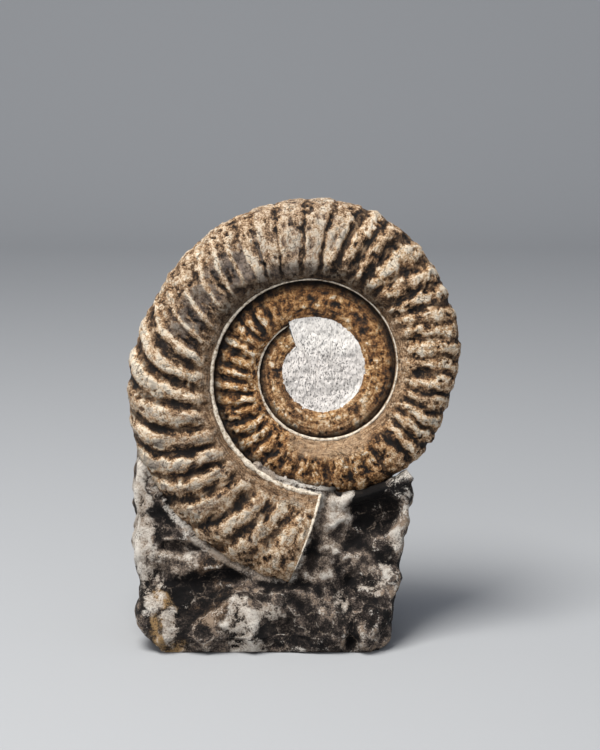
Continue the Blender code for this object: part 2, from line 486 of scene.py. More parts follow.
@dataclass(frozen=True)
class CoilPlace:
    """What the coil's finish knows of a spot: where it is on the coil, and noise over it."""

    graph: Graph
    spot: Wire
    rib: Wire
    ribbing: Wire
    across: Wire
    back: Wire
    edge: Wire
    grain: Wire
    blotch: Wire
    cloud: Wire
    drawn: Wire
    share: Wire
    inner: Wire
    innermost: Wire

    @classmethod
    def read(cls, graph: Graph, patina: "CoilPatina") -> "CoilPlace":
        """Reads the coil's attributes, and lays noise over it and along its ribs.

        Args:
            graph: The material's graph.
            patina: The finish, which says how fine the noise is.

        Returns:
            What was read.
        """
        spot = millimetres(graph)
        stored = {name: attribute(graph, name) for name in ("rib", "ribbing", "across", "back", "edge")}
        stretch, back = patina.drawn_stretch, stored["back"]
        along_rib = graph.join(attribute(graph, "count") * stretch, stored["across"] * stretch, back)
        return cls(
            graph=graph,
            spot=spot,
            grain=patina.grain.over(graph, spot),
            blotch=patina.blotch.over(graph, spot),
            cloud=patina.cloud.over(graph, spot),
            drawn=patina.drawn.over(graph, along_rib),
            share=back / TRACK_TURNS,
            inner=back.smooth(*patina.inner_turns),
            innermost=back.smooth(*patina.innermost_turns),
            **stored,
        )


@dataclass(frozen=True)
class CoilPatina(Finish):
    """Brown iron-stained shell: ochre and tan on its ribs, grey where worn, black in its grooves."""

    black: Colour = (0.008, 0.006, 0.005)
    umber: Colour = (0.050, 0.027, 0.014)
    rust: Colour = (0.190, 0.080, 0.026)
    brown: Colour = (0.170, 0.098, 0.050)
    ochre: Colour = (0.460, 0.235, 0.085)
    tan: Colour = (0.400, 0.255, 0.145)
    straw: Colour = (0.680, 0.440, 0.220)
    sand: Colour = (0.640, 0.465, 0.300)
    cream: Colour = (0.920, 0.800, 0.630)
    slate: Colour = (0.070, 0.054, 0.048)
    grey: Colour = (0.290, 0.240, 0.205)
    # Noise over the coil, along its ribs, along its inner whorls and along its wall
    grain: Cloud = Cloud(1.7, 4.0, 0.72)
    blotch: Cloud = Cloud(0.40, 3.0, 0.62)
    cloud: Cloud = Cloud(0.11)
    drawn: Cloud = Cloud(1.0, 4.0, 0.62)
    drawn_stretch: float = 2.6
    flow: Cloud = Cloud(1.0, 4.0, 0.65)
    flow_stretch: Pair = (14.0, 9.0)
    streak: Cloud = Cloud(1.0, 3.0, 0.6)
    streak_stretch: Pair = (30.0, 70.0)
    # Where the inner whorls and the innermost one start, in turns back from the mouth
    inner_turns: Pair = (0.93, 1.0)
    innermost_turns: Pair = (1.30, 1.50)
    # How much each kind of noise and relief lightens or darkens the stain
    grain_weight: float = 1.5
    blotch_weight: float = 1.2
    cloud_weight: float = 0.7
    flow_weight: float = 1.1
    drawn_weight: float = 0.12
    drawn_rib_weight: float = 1.5
    edge_weight: float = 0.22
    rib_weight: float = 0.18
    inner_blotch_weight: float = 0.3
    inner_grain_loss: float = 0.4
    innermost_grain_loss: float = 0.5
    rust_weight: float = 1.4
    # Where the colours stand on the stain's scale from dark to light
    outer_tones: tuple[float, ...] = (0.18, 0.33, 0.46, 0.59, 0.72, 0.90)
    inner_tones: tuple[float, ...] = (0.15, 0.32, 0.47, 0.62, 0.78, 0.96)
    wall_tones: tuple[float, ...] = (0.14, 0.32, 0.48, 0.62, 0.80)
    wall_width: float = 0.16
    # Thin cracks
    crack_sway: Sway = Sway(0.6, 3.0, 3.0)
    crack_scale: float = 0.30
    crack_width: float = 0.045
    crack_share: float = 0.75
    relief_depth: float = 0.9 * MM
    # The flank's middle, where its valleys wear: the ends of its fading towards the seam and outwards
    flank: tuple[Pair, Pair] = ((0.18, 0.30), (0.78, 0.58))
    # Dirt and painted shade: how near a groove's floor it lies, and where painted shade starts under an inner
    # whorl's seam
    groove_floor: float = 0.22
    painted_seam_shade: Pair = (0.66, 0.88)
    # Tracks: how readily crests are worn to grey, how light they are then, and how readily valleys are
    worn_crests: Track = (
        (0.0, 0.30), (0.035, 0.42), (0.075, 0.42), (0.10, 0.30), (0.16, 0.26), (0.178, 0.45),
        (0.20, 0.45), (0.22, 0.28), (0.37, 0.28), (0.40, 0.12), (1.0, 0.10),
    )
    worn_crests_light: Track = (
        (0.0, 0.06), (0.04, 0.0), (0.11, 0.0), (0.155, 0.10), (0.175, 0.30), (0.21, 0.26), (0.24, 0.08),
        (1.0, 0.04),
    )
    worn_valleys: Track = (
        (0.0, 0.0), (0.10, 0.0), (0.118, 0.9), (0.165, 0.9), (0.18, 0.2), (0.22, 0.1), (1.0, 0.0),
    )
    # How far the coat turns from brown and tan to rust and ochre
    rusting: Track = (
        (0.0, 0.30), (0.10, 0.18), (0.20, 0.10), (0.235, 0.40), (0.34, 0.40), (0.38, 1.0),
        (0.72, 1.0), (0.80, 0.62), (0.90, 0.70), (1.0, 0.90),
    )
    # How light the coat is, and how light the smooth wall next to the seam is; the wall's dip between 0.12
    # and 0.28 is painted shade at the top of the coil
    lightness: Track = (
        (0.0, 0.525), (0.07, 0.535), (0.09, 0.575), (0.12, 0.56), (0.20, 0.50), (0.27, 0.52),
        (0.33, 0.50), (0.37, 0.44), (0.44, 0.47), (0.52, 0.50), (0.59, 0.45), (0.67, 0.46),
        (0.75, 0.52), (0.83, 0.55), (0.92, 0.50), (1.0, 0.48),
    )
    wall_lightness_and_shade: Track = (
        (0.0, 0.50), (0.12, 0.44), (0.15, 0.20), (0.24, 0.18), (0.285, 0.56), (0.36, 0.56),
        (0.385, 0.68), (0.43, 0.64), (0.46, 0.50), (1.0, 0.50),
    )
    # How far the smooth wall reaches over the flank, plus 0.2
    wall_reach: Track = (
        (0.0, 0.29), (0.12, 0.29), (0.15, 0.36), (0.24, 0.36), (0.28, 0.29), (0.365, 0.29),
        (0.385, 0.47), (0.435, 0.43), (0.46, 0.0), (1.0, 0.0),
    )

    def paint(self, graph: Graph) -> dict[str, Any]:
        """Layers the stain, the wear and the dirt by the coil's own attributes.

        Args:
            graph: The material's graph.

        Returns:
            Values and wires for the shader's sockets.
        """
        at = CoilPlace.read(graph, self)
        coat = self.stained(at)
        coat = self.walled(at, coat)
        coat = self.worn(at, coat)
        coat = self.dirt_and_shade(at, coat)
        crack = self.cracks(at)
        relief = at.grain + at.blotch * 0.5 + at.drawn * 0.9 - crack * 0.5
        return {
            "Base Color": graph.mix(crack * self.crack_share, coat, self.umber),
            "Roughness": 0.42 + 0.40 * at.grain,
            "Specular IOR Level": 0.26,
            "Normal": graph.bump(relief, self.relief_depth),
        }

    def stained(self, at: CoilPlace) -> Wire:
        """The stain: brown and tan on the last whorl, rust and ochre on the inner ones.

        Args:
            at: The spot.

        Returns:
            The colour.
        """
        graph = at.graph
        tone = graph.curve(at.share, self.lightness)
        tone = tone + at.grain.swing(self.grain_weight) + at.blotch.swing(self.blotch_weight)
        tone = tone + at.drawn.swing(self.drawn_weight + at.ribbing * self.drawn_rib_weight)
        tone = tone + at.cloud.swing(self.cloud_weight)
        along, over = self.flow_stretch
        flow = self.flow.over(graph, graph.join(at.back * along, at.across * over, 0.0))
        tone = tone + flow.swing(1.0 - at.ribbing) * at.inner * self.flow_weight
        calmer = self.inner_grain_loss + self.innermost_grain_loss * at.innermost
        tone = tone + (at.blotch.swing(self.inner_blotch_weight) - at.grain.swing(calmer)) * at.inner
        tone = tone + at.edge * self.edge_weight + at.rib.swing(at.ribbing) * self.rib_weight
        outer_coat = graph.ramp(
            tone, self.outer_tones, self.black, self.umber, self.brown, self.tan, self.sand, self.cream)
        inner_coat = graph.ramp(
            tone, self.inner_tones, self.black, self.umber, self.rust, self.ochre, self.straw, self.cream)
        rusty = graph.curve(at.share, self.rusting) + at.cloud.swing(self.rust_weight)
        return graph.mix(rusty.clamp(), outer_coat, inner_coat)

    def walled(self, at: CoilPlace, coat: Wire) -> Wire:
        """Streaks along the coil, on the smooth wall next to the last whorl's seam, with painted shade at the
        top.

        Args:
            at: The spot.
            coat: The colour so far.

        Returns:
            The colour.
        """
        graph = at.graph
        along, over = self.streak_stretch
        streak = self.streak.over(graph, graph.join(at.back * along, at.across * over, 0.0))
        # The wall's lightness dips at the top of the coil: painted shade
        streak = streak + at.grain.swing(0.7) + graph.curve(at.share, self.wall_lightness_and_shade) - 0.5
        reach = graph.curve(at.share, self.wall_reach) - 0.2
        wall = (at.across - reach).smooth(self.wall_width, 0.0)
        return graph.mix(wall * 0.8, coat, graph.ramp(
            streak, self.wall_tones, self.black, self.umber, self.brown, self.tan, self.sand))

    def worn(self, at: CoilPlace, coat: Wire) -> Wire:
        """Grey where the crests, or the valleys of the upper left, are worn.

        Args:
            at: The spot.
            coat: The colour so far.

        Returns:
            The colour.
        """
        graph = at.graph
        bare_tone = at.grain * 0.6 + at.blotch * 0.4 + graph.curve(at.share, self.worn_crests_light)
        bare = graph.mix(bare_tone.smooth(0.42, 0.80), self.slate, self.grey)
        readiness = at.cloud * 0.5 + at.blotch * 0.5 + graph.curve(at.share, self.worn_crests)
        high = at.rib.smooth(0.55, 0.90) * at.ribbing * readiness.smooth(0.80, 0.98)
        mid_flank = at.across.smooth(*self.flank[0]) * at.across.smooth(*self.flank[1])
        patchy = (at.blotch + at.cloud.swing(1.2)).smooth(0.36, 0.50)
        low = (1.0 - at.rib).smooth(0.45, 0.85) * mid_flank * patchy
        low = low * graph.curve(at.share, self.worn_valleys)
        return graph.mix(graph.math("MAXIMUM", high * 0.8, low * 0.85), coat, bare)

    def dirt_and_shade(self, at: CoilPlace, coat: Wire) -> Wire:
        """Black in the grooves, as dirt and painted shade, and painted shade on the inner whorls under their
        seam.

        Args:
            at: The spot.
            coat: The colour so far.

        Returns:
            The colour.
        """
        graph = at.graph
        # The grooves' black stands for dirt and for painted shade
        pool = (at.blotch * 0.5 + at.grain * 0.5).smooth(0.40, 0.60) * 0.75 + 0.15
        groove = (1.0 - at.rib.smooth(0.0, self.groove_floor)) * (at.ribbing * 1.6).clamp() * pool
        groove = groove * (1.0 - graph.curve(at.share, self.worn_valleys) * 0.8)
        rim = at.across + at.blotch.swing(0.5) * at.innermost
        # Painted shade: the inner whorls are darkened under the seam of the whorl outside them
        painted_seam_shade = at.inner * rim.smooth(*self.painted_seam_shade)
        return graph.mix(graph.math("MAXIMUM", groove.clamp() * 0.93, painted_seam_shade * 0.85), coat, self.black)

    def cracks(self, at: CoilPlace) -> Wire:
        """1 in thin cracks, which run over some areas.

        Args:
            at: The spot.

        Returns:
            The share of crack.
        """
        graph = at.graph
        crazed = graph.swayed(at.spot, self.crack_sway)
        crack = graph.cells(crazed, self.crack_scale, "DISTANCE_TO_EDGE").smooth(self.crack_width, 0.0)
        return crack * (at.cloud * 0.5 + at.blotch * 0.5).smooth(0.44, 0.56)


@dataclass(frozen=True)
class TooledLimestone(Finish):
    """Pale grey limestone, pricked all over by a pointed tool."""

    dark: Colour = (0.110, 0.105, 0.100)
    mid: Colour = (0.480, 0.450, 0.420)
    light: Colour = (0.760, 0.715, 0.670)
    painted_light: Colour = (0.900, 0.860, 0.800)
    # Where the plate's middle is and where its rim starts and ends, in millimetres; they place the painted
    # light on the rim
    middle: tuple[float, float, float] = (18.2, 8.0, 92.8)
    rim_start: float = 11.6
    rim_end: float = 14.2
    # How fine the pricks are along Z, as a share of how fine they are across: under 1 makes them tall
    prick_stretch: float = 0.55
    pricks: Cloud = Cloud(2.3, 3.0, 0.65)
    prick_depth: float = 0.30 * MM
    chalk: Cloud = Cloud(0.35, 3.0, 0.6)

    def paint(self, graph: Graph) -> dict[str, Any]:
        """Pale rock with short dark upright pricks, painted highlight on the lower rim and painted light over
        the upper part.

        Args:
            graph: The material's graph.

        Returns:
            Values and wires for the shader's sockets.
        """
        spot = millimetres(graph)
        long_spot = graph.vector("MULTIPLY", spot, (1.0, 1.0, self.prick_stretch))
        prick = self.pricks.over(graph, long_spot).smooth(0.34, 0.47)
        chalk = self.chalk.over(graph, spot)
        base = graph.ramp(chalk, (0.30, 0.62), self.mid, self.light)
        x, _, z = graph.split(graph.vector("SUBTRACT", spot, self.middle))
        rim = (x * x + z * z).smooth(self.rim_start ** 2.0, self.rim_end ** 2.0)
        upward = (z / self.rim_end + chalk.swing(0.6)).clamp(-1.0, 1.0)
        # Painted highlight: the lower rim is lightened as if it faced the light
        base = graph.mix(rim * upward.smooth(-0.15, -0.60), base, self.painted_light)
        # Painted light: the upper part is lightened against the whorl's cast shadow
        base = graph.mix(upward.smooth(0.30, 0.70) * 0.8, base, self.painted_light)
        return {
            "Base Color": graph.mix((1.0 - prick) * (1.0 - rim * 0.6), base, self.dark),
            "Roughness": 0.80 + 0.12 * chalk,
            "Specular IOR Level": 0.25,
            "Normal": graph.bump(prick, self.prick_depth, 0.8),
        }


@dataclass(frozen=True)
class SeamLimestone(Finish):
    """The pale ridge of rock that is left along the seam."""

    shade: Colour = (0.250, 0.185, 0.120)
    light: Colour = (0.720, 0.640, 0.520)
    stains: Cloud = Cloud(0.9, 3.0, 0.65)
    roughness_depth: float = 0.30 * MM

    def paint(self, graph: Graph) -> dict[str, Any]:
        """Cream rock, broken by darker stains.

        Args:
            graph: The material's graph.

        Returns:
            Values and wires for the shader's sockets.
        """
        stain = self.stains.over(graph, millimetres(graph))
        return {
            "Base Color": graph.ramp(stain, (0.34, 0.55), self.shade, self.light),
            "Roughness": 0.75 + 0.15 * stain,
            "Specular IOR Level": 0.25,
            "Normal": graph.bump(stain, self.roughness_depth, 0.8),
        }


@dataclass(frozen=True)
class Patch:
    """A stain on the block's front, in millimetres: its middle and its reach along X and Z."""

    middle: Pair
    reach: Pair

    def cover(self, graph: Graph, spot: Wire) -> Wire:
        """1 inside the patch and 0 outside it, with a soft edge.

        Args:
            graph: The material's graph.
            spot: The spot, in millimetres.

        Returns:
            The share.
        """
        x, y, z = graph.split(spot)
        u, v = (x - self.middle[0]) / self.reach[0], (z - self.middle[1]) / self.reach[1]
        return (u * u + v * v).smooth(1.25, 0.6) * y.smooth(4.0, -4.0)


@dataclass(frozen=True)
class BrokenLimestone(Finish):
    """Near-black limestone with pale bruises, white veins and ochre stains."""

    black: Colour = (0.006, 0.005, 0.005)
    coal: Colour = (0.036, 0.027, 0.022)
    grey: Colour = (0.130, 0.102, 0.086)
    bruise: Colour = (0.380, 0.285, 0.205)
    white: Colour = (0.880, 0.820, 0.730)
    ochre: Colour = (0.480, 0.300, 0.130)
    peat: Colour = (0.110, 0.060, 0.028)
    # Noise over the rock, and how patches, veins and facets are bent by it
    grain: Cloud = Cloud(1.6, 5.0, 0.80)
    blotch: Cloud = Cloud(0.24, 3.0, 0.6)
    vein: Cloud = Cloud(0.30, 6.0, 0.74)
    drift: Cloud = Cloud(0.085)
    bend: Sway = Sway(0.22, 3.0, 9.0)
    facet_bend: Sway = Sway(0.35, 4.0, 3.0)
    # How fine the facets are, and how far they are tilted
    broad_facets: float = 0.13
    broad_tilt: float = 0.75
    narrow_facets: float = 0.42
    narrow_tilt: float = 0.40
    # How light the rock is, and how much noise and relief lighten or darken it
    lightness: float = 0.46
    grain_weight: float = 1.5
    blotch_weight: float = 0.7
    drift_weight: float = 1.1
    edge_weight: float = 0.26
    plane_weight: float = 0.26
    # Where the colours stand on that scale: on plain rock, in its stains, and in the painted shadows of its
    # recesses
    plain_tones: tuple[float, ...] = (0.26, 0.46, 0.62, 0.80)
    peat_tones: tuple[float, ...] = (0.30, 0.48, 0.62, 0.82)
    shadow_tones: tuple[float, ...] = (0.42, 0.60, 0.78, 0.95)
    beige_tones: tuple[float, ...] = (0.16, 0.35, 0.52, 0.80)
    relief_depth: float = 1.0 * MM
    # In millimetres: the bruised left edge and the upper right, each by its fading along X and Z
    left_edge: tuple[Pair, Pair] = ((-37.0, -42.0), (22.0, 34.0))
    upper_right: tuple[Pair, Pair] = ((16.0, 24.0), (36.0, 44.0))
    # The pale lip at the shell: its reach, how much more it has at the upper right, and where it's brown
    lip_reach: float = 2.0
    lip_extra: float = 2.4
    brown_lip: tuple[Pair, Pair] = ((-30.0, -18.0), (8.0, 2.0))
    # Painted shadow: the black slit under the shell at the upper right
    slit_shadow_ends: Pair = (3.2, 1.6)
    whites: tuple[Patch, ...] = (
        Patch((-44.0, 50.0), (4.6, 13.0)), Patch((-42.0, 35.0), (4.6, 13.0)),
        Patch((-38.0, 21.0), (3.4, 8.0)), Patch((-32.5, 9.0), (3.0, 7.0)),
        Patch((-8.0, 12.0), (6.0, 7.0)), Patch((1.0, 13.5), (5.0, 3.0)), Patch((-6.0, 2.5), (7.0, 3.0)),
        Patch((26.5, 17.5), (2.4, 3.4)), Patch((45.5, 37.0), (2.4, 4.0)), Patch((41.0, 26.0), (2.4, 5.0)),
        Patch((37.0, 21.0), (4.5, 1.6)), Patch((22.0, 53.0), (3.0, 3.0)), Patch((42.0, 61.0), (7.0, 3.2)),
    )
    # Painted shadows, black in the front's hollows and recesses
    painted_shadows: tuple[Patch, ...] = (
        Patch((38.0, 45.0), (11.0, 7.5)), Patch((14.0, 9.0), (11.0, 8.0)), Patch((30.5, 5.0), (3.0, 7.0)),
        Patch((-28.5, 34.0), (9.0, 3.0)), Patch((-12.0, 24.0), (9.0, 2.6)), Patch((-26.0, 20.0), (9.0, 6.0)),
    )
    beiges: tuple[Patch, ...] = (
        Patch((22.0, 45.0), (7.0, 13.0)), Patch((33.0, 57.0), (11.0, 3.5)), Patch((17.0, 27.0), (6.0, 5.0)),
        Patch((32.0, 29.0), (7.0, 4.0)), Patch((-32.0, 30.0), (9.0, 5.0)),
    )
    ochres: tuple[Patch, ...] = (Patch((-35.0, 12.0), (5.0, 8.0)), Patch((-33.0, 2.0), (6.0, 4.0)))
    peats: tuple[Patch, ...] = (Patch((-20.0, 20.0), (12.0, 11.0)), Patch((-12.0, 26.0), (8.0, 4.0)))

    def paint(self, graph: Graph) -> dict[str, Any]:
        """Dark rock with pale edges, a pale band where it meets the shell, and painted shadow in its recesses
        and under the shell at the upper right.

        Args:
            graph: The material's graph.

        Returns:
            Values and wires for the shader's sockets.
        """
        spot = millimetres(graph)
        near, edge = attribute(graph, "from_shell"), attribute(graph, "edge")
        grain, blotch = self.grain.over(graph, spot), self.blotch.over(graph, spot)
        bent, cut = graph.swayed(spot, self.bend), graph.swayed(spot, self.facet_bend)
        vein, drift = self.vein.over(graph, bent), self.drift.over(graph, bent)
        broad, narrow = graph.lots(cut, self.broad_facets), graph.lots(cut, self.narrow_facets)
        plane = graph.split(broad)[0] + graph.split(narrow)[0] * 0.6
        tone = self.lightness + grain.swing(self.grain_weight) + blotch.swing(self.blotch_weight)
        tone = tone + drift.swing(self.drift_weight) + edge * self.edge_weight + plane * self.plane_weight

        coat = graph.ramp(tone, self.plain_tones, self.black, self.coal, self.grey, self.bruise)
        brown = graph.ramp(tone, self.peat_tones, self.black, self.coal, self.peat, self.bruise)
        # The colour of the painted shadows in the recesses
        dark = graph.ramp(tone, self.shadow_tones, self.black, self.coal, self.grey, self.bruise)
        beige = graph.ramp(tone, self.beige_tones, self.coal, self.grey, self.bruise, self.white)
        rusty = graph.mix((tone + 0.08).smooth(0.30, 0.62), self.coal, self.ochre)
        for patches, strength, stain in (
            (self.peats, 0.85, brown), (self.painted_shadows, 0.95, dark),
            (self.beiges, 0.85, beige), (self.ochres, 0.9, rusty),
        ):
            coat = graph.mix(self.cover(graph, bent, patches) * strength, coat, stain)
        chalkiness = grain * 0.6 + vein * 0.4 + edge * 0.14
        chalk = graph.mix(chalkiness.smooth(0.40, 0.64), self.bruise, self.white)
        gap = (grain * 0.7 + blotch * 0.3 + plane * 0.1).smooth(0.46, 0.38)
        chalk = graph.mix(gap * 0.8, chalk, self.grey)
        x, _, z = graph.split(spot)
        bruised_left = x.smooth(*self.left_edge[0]) * z.smooth(*self.left_edge[1]) * 0.05
        fleck = (vein * 0.65 + grain * 0.35 + edge * 0.18 + bruised_left).smooth(0.43, 0.50)
        coat = graph.mix(self.cover(graph, bent, self.whites) * fleck * 0.9, coat, chalk)
        coat = graph.mix((vein * 0.7 + grain * 0.3 + edge * 0.12).smooth(0.60, 0.68) * 0.8, coat, chalk)
        rim = graph.cells(cut, self.broad_facets, "DISTANCE_TO_EDGE").smooth(0.05, 0.0)
        rim = rim * (grain * 0.5 + blotch * 0.5).smooth(0.46, 0.54)
        coat = graph.mix(rim * 0.5, coat, beige)

        upper_right = x.smooth(*self.upper_right[0]) * z.smooth(*self.upper_right[1])
        reach = self.lip_reach + upper_right * self.lip_extra
        band = ((near + blotch.swing(5.0) + grain.swing(3.0)) / reach).smooth(1.2, 0.8)
        patchy = grain * 0.35 + blotch * 0.25 + drift * 0.4 + edge * 0.08 + plane * 0.05
        patchy = patchy.smooth(0.46, 0.55)
        lip = graph.mix((vein + edge * 0.2 + grain * 0.3).smooth(0.50, 0.80), beige, chalk)
        browned = x.smooth(*self.brown_lip[0]) * x.smooth(*self.brown_lip[1])
        lip = graph.mix(browned * 0.75, lip, brown)
        coat = graph.mix(band * patchy * 0.9, coat, lip)
        # Painted shadow: black under the whorl at the upper right, where the rock stands clear
        slit_shadow = near.smooth(*self.slit_shadow_ends) * upper_right
        coat = graph.mix(slit_shadow * 0.92, coat, self.black)
        facing = self.facing(graph, broad, narrow)
        return {
            "Base Color": coat,
            "Roughness": 0.50 + 0.35 * grain,
            "Specular IOR Level": 0.18,
            "Normal": graph.bump(grain + blotch + vein, self.relief_depth, Normal=facing),
        }

    def facing(self, graph: Graph, broad: Wire, narrow: Wire) -> Wire:
        """The surface's normal, tilted another way on each broken facet.

        Args:
            graph: The material's graph.
            broad: The broad facets' vectors.
            narrow: The narrow facets' vectors.

        Returns:
            The normal.
        """
        normal = graph.out("ShaderNodeNewGeometry", {}, {}, "Normal")
        normal = graph.vector("ADD", normal, graph.scaled(broad, self.broad_tilt))
        normal = graph.vector("ADD", normal, graph.scaled(narrow, self.narrow_tilt))
        return graph.vector("NORMALIZE", normal)

    @staticmethod
    def cover(graph: Graph, spot: Wire, patches: Sequence[Patch]) -> Wire:
        """How much of any of these patches lies on a spot of the front.

        Args:
            graph: The material's graph.
            spot: The spot, in millimetres.
            patches: The patches.

        Returns:
            The share.
        """
        total = 0.0
        for patch in patches:
            total = total + patch.cover(graph, spot)
        return total.clamp()


@dataclass(frozen=True)
class StudioPaper(Finish):
    """Plain pale paper for the floor and the backdrop."""

    colour: Colour = (0.400, 0.410, 0.420)
    shade: Colour = (0.300, 0.300, 0.300)
    tooth: Cloud = Cloud(0.8)

    def paint(self, graph: Graph) -> dict[str, Any]:
        """An even coat with a faint tooth.

        Args:
            graph: The material's graph.

        Returns:
            Values and wires for the shader's sockets.
        """
        tooth = self.tooth.over(graph, millimetres(graph))
        return {
            "Base Color": graph.mix(tooth * 0.06, self.colour, self.shade),
            "Roughness": 0.90,
            "Specular IOR Level": 0.10,
        }


# ---------------------------------------------------------------- the coil


@dataclass(frozen=True)
class CoilShape:
    """The coil's rule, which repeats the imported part's: a spiral of superellipse sections."""

    mouth_radius: float = 75.0 * MM
    growth: float = 0.09244
    degrees: float = 859.5
    mouth_degrees: float = -88.5
    centre: tuple[float, float, float] = (18.2 * MM, 8.0 * MM, 92.8 * MM)
    tilt_degrees: float = 8.0
    section_centre: float = 0.772
    half_width: float = 0.200
    power: float = 2.6
    lean: float = math.tan(math.radians(16.0))
    ribs: int = 39
    pushed: tuple[tuple[float, float, float], ...] = (
        (102.0, 22.0, -0.025), (187.0, 32.0, 0.05), (274.0, 20.0, -0.03),
    )

    @cached_property
    def turn(self) -> float:
        """The angle between a point of the seam and the next one outside it."""
        return 2.0 * math.pi / (1.0 + self.lean * self.growth)

    @cached_property
    def ratio(self) -> float:
        """How much bigger a whorl is than the one inside it."""
        return math.exp(self.growth * self.turn)

    @cached_property
    def seam(self) -> float:
        """Where a whorl meets the one inside it, as a share of its outer radius.

        Returns:
            The share.
        """
        low, high = 2.0 * self.section_centre - 1.0, 1.0 / self.ratio
        for _ in range(60):
            middle = (low + high) / 2.0
            if self.width_at(middle) < self.width_at(middle * self.ratio) / self.ratio:
                low = middle
            else:
                high = middle
        return middle

    @cached_property
    def first_angle(self) -> float:
        """The angle of the broken inner end; the mouth is at 0."""
        step = self.turn / (self.ribs * 4)
        return -round(math.radians(self.degrees) / step) * step

    def width_at(self, rho: float) -> float:
        """Half the whorl's thickness at a share rho of its outer radius."""
        across = abs((rho - self.section_centre) / (1.0 - self.section_centre))
        return self.half_width * max(0.0, 1.0 - across**self.power) ** (1.0 / self.power)

    def section_angle(self, rho: float) -> float:
        """The angle round the section, from its outer edge, of the front point at rho."""
        along = (rho - self.section_centre) / (1.0 - self.section_centre)
        return math.acos(math.copysign(abs(along) ** (self.power / 2.0), along))

    def radius(self, angle: float) -> float:
        """The radius to the outer edge."""
        return self.mouth_radius * math.exp(self.growth * angle)

    def outline(self, graph: Graph, section: Wire) -> tuple[Wire, Wire]:
        """A point of the section, at an angle round it.

        Args:
            graph: The tree's graph.
            section: The angle round the section, from its outer edge.

        Returns:
            Its share of the outer radius and its half width.
        """
        rounded = []
        for operation in ("COSINE", "SINE"):
            wave = graph.math(operation, section)
            rounded.append(graph.math("SIGN", wave) * (abs(wave) ** (2.0 / self.power)))
        along, across = rounded
        return self.section_centre + (1.0 - self.section_centre) * along, self.half_width * across

    def turned(self, graph: Graph, angle: Wire, rho: Wire) -> Wire:
        """The direction of a point from the axis, which lags further out.

        Args:
            graph: The tree's graph.
            angle: The angle from the mouth.
            rho: The share of the outer radius.

        Returns:
            The direction.
        """
        lag = graph.math("LOGARITHM", rho / self.seam, math.e) * self.lean
        return angle + math.radians(self.mouth_degrees) - lag

    def place(self, graph: Graph, angle: Wire, rho: Wire, width: Wire, radius: Wire) -> Wire:
        """The point of the coil at an angle, a share rho of the radius and a half width.

        Args:
            graph: The tree's graph.
            angle: The angle from the mouth.
            rho: The share of the outer radius.
            width: The half width, as a share of the outer radius.
            radius: The outer radius.

        Returns:
            The point, in the coil's own plane.
        """
        reach, turned = radius * rho, self.turned(graph, angle, rho)
        return graph.join(
            reach * graph.math("COSINE", turned), radius * width * -1.0, reach * graph.math("SINE", turned))

    def placing(self) -> Matrix:
        """The matrix that leans the coil back and lifts it to its place."""
        tilt = Matrix.Rotation(math.radians(-self.tilt_degrees), 4, "X")
        return Matrix.Translation(self.centre) @ tilt


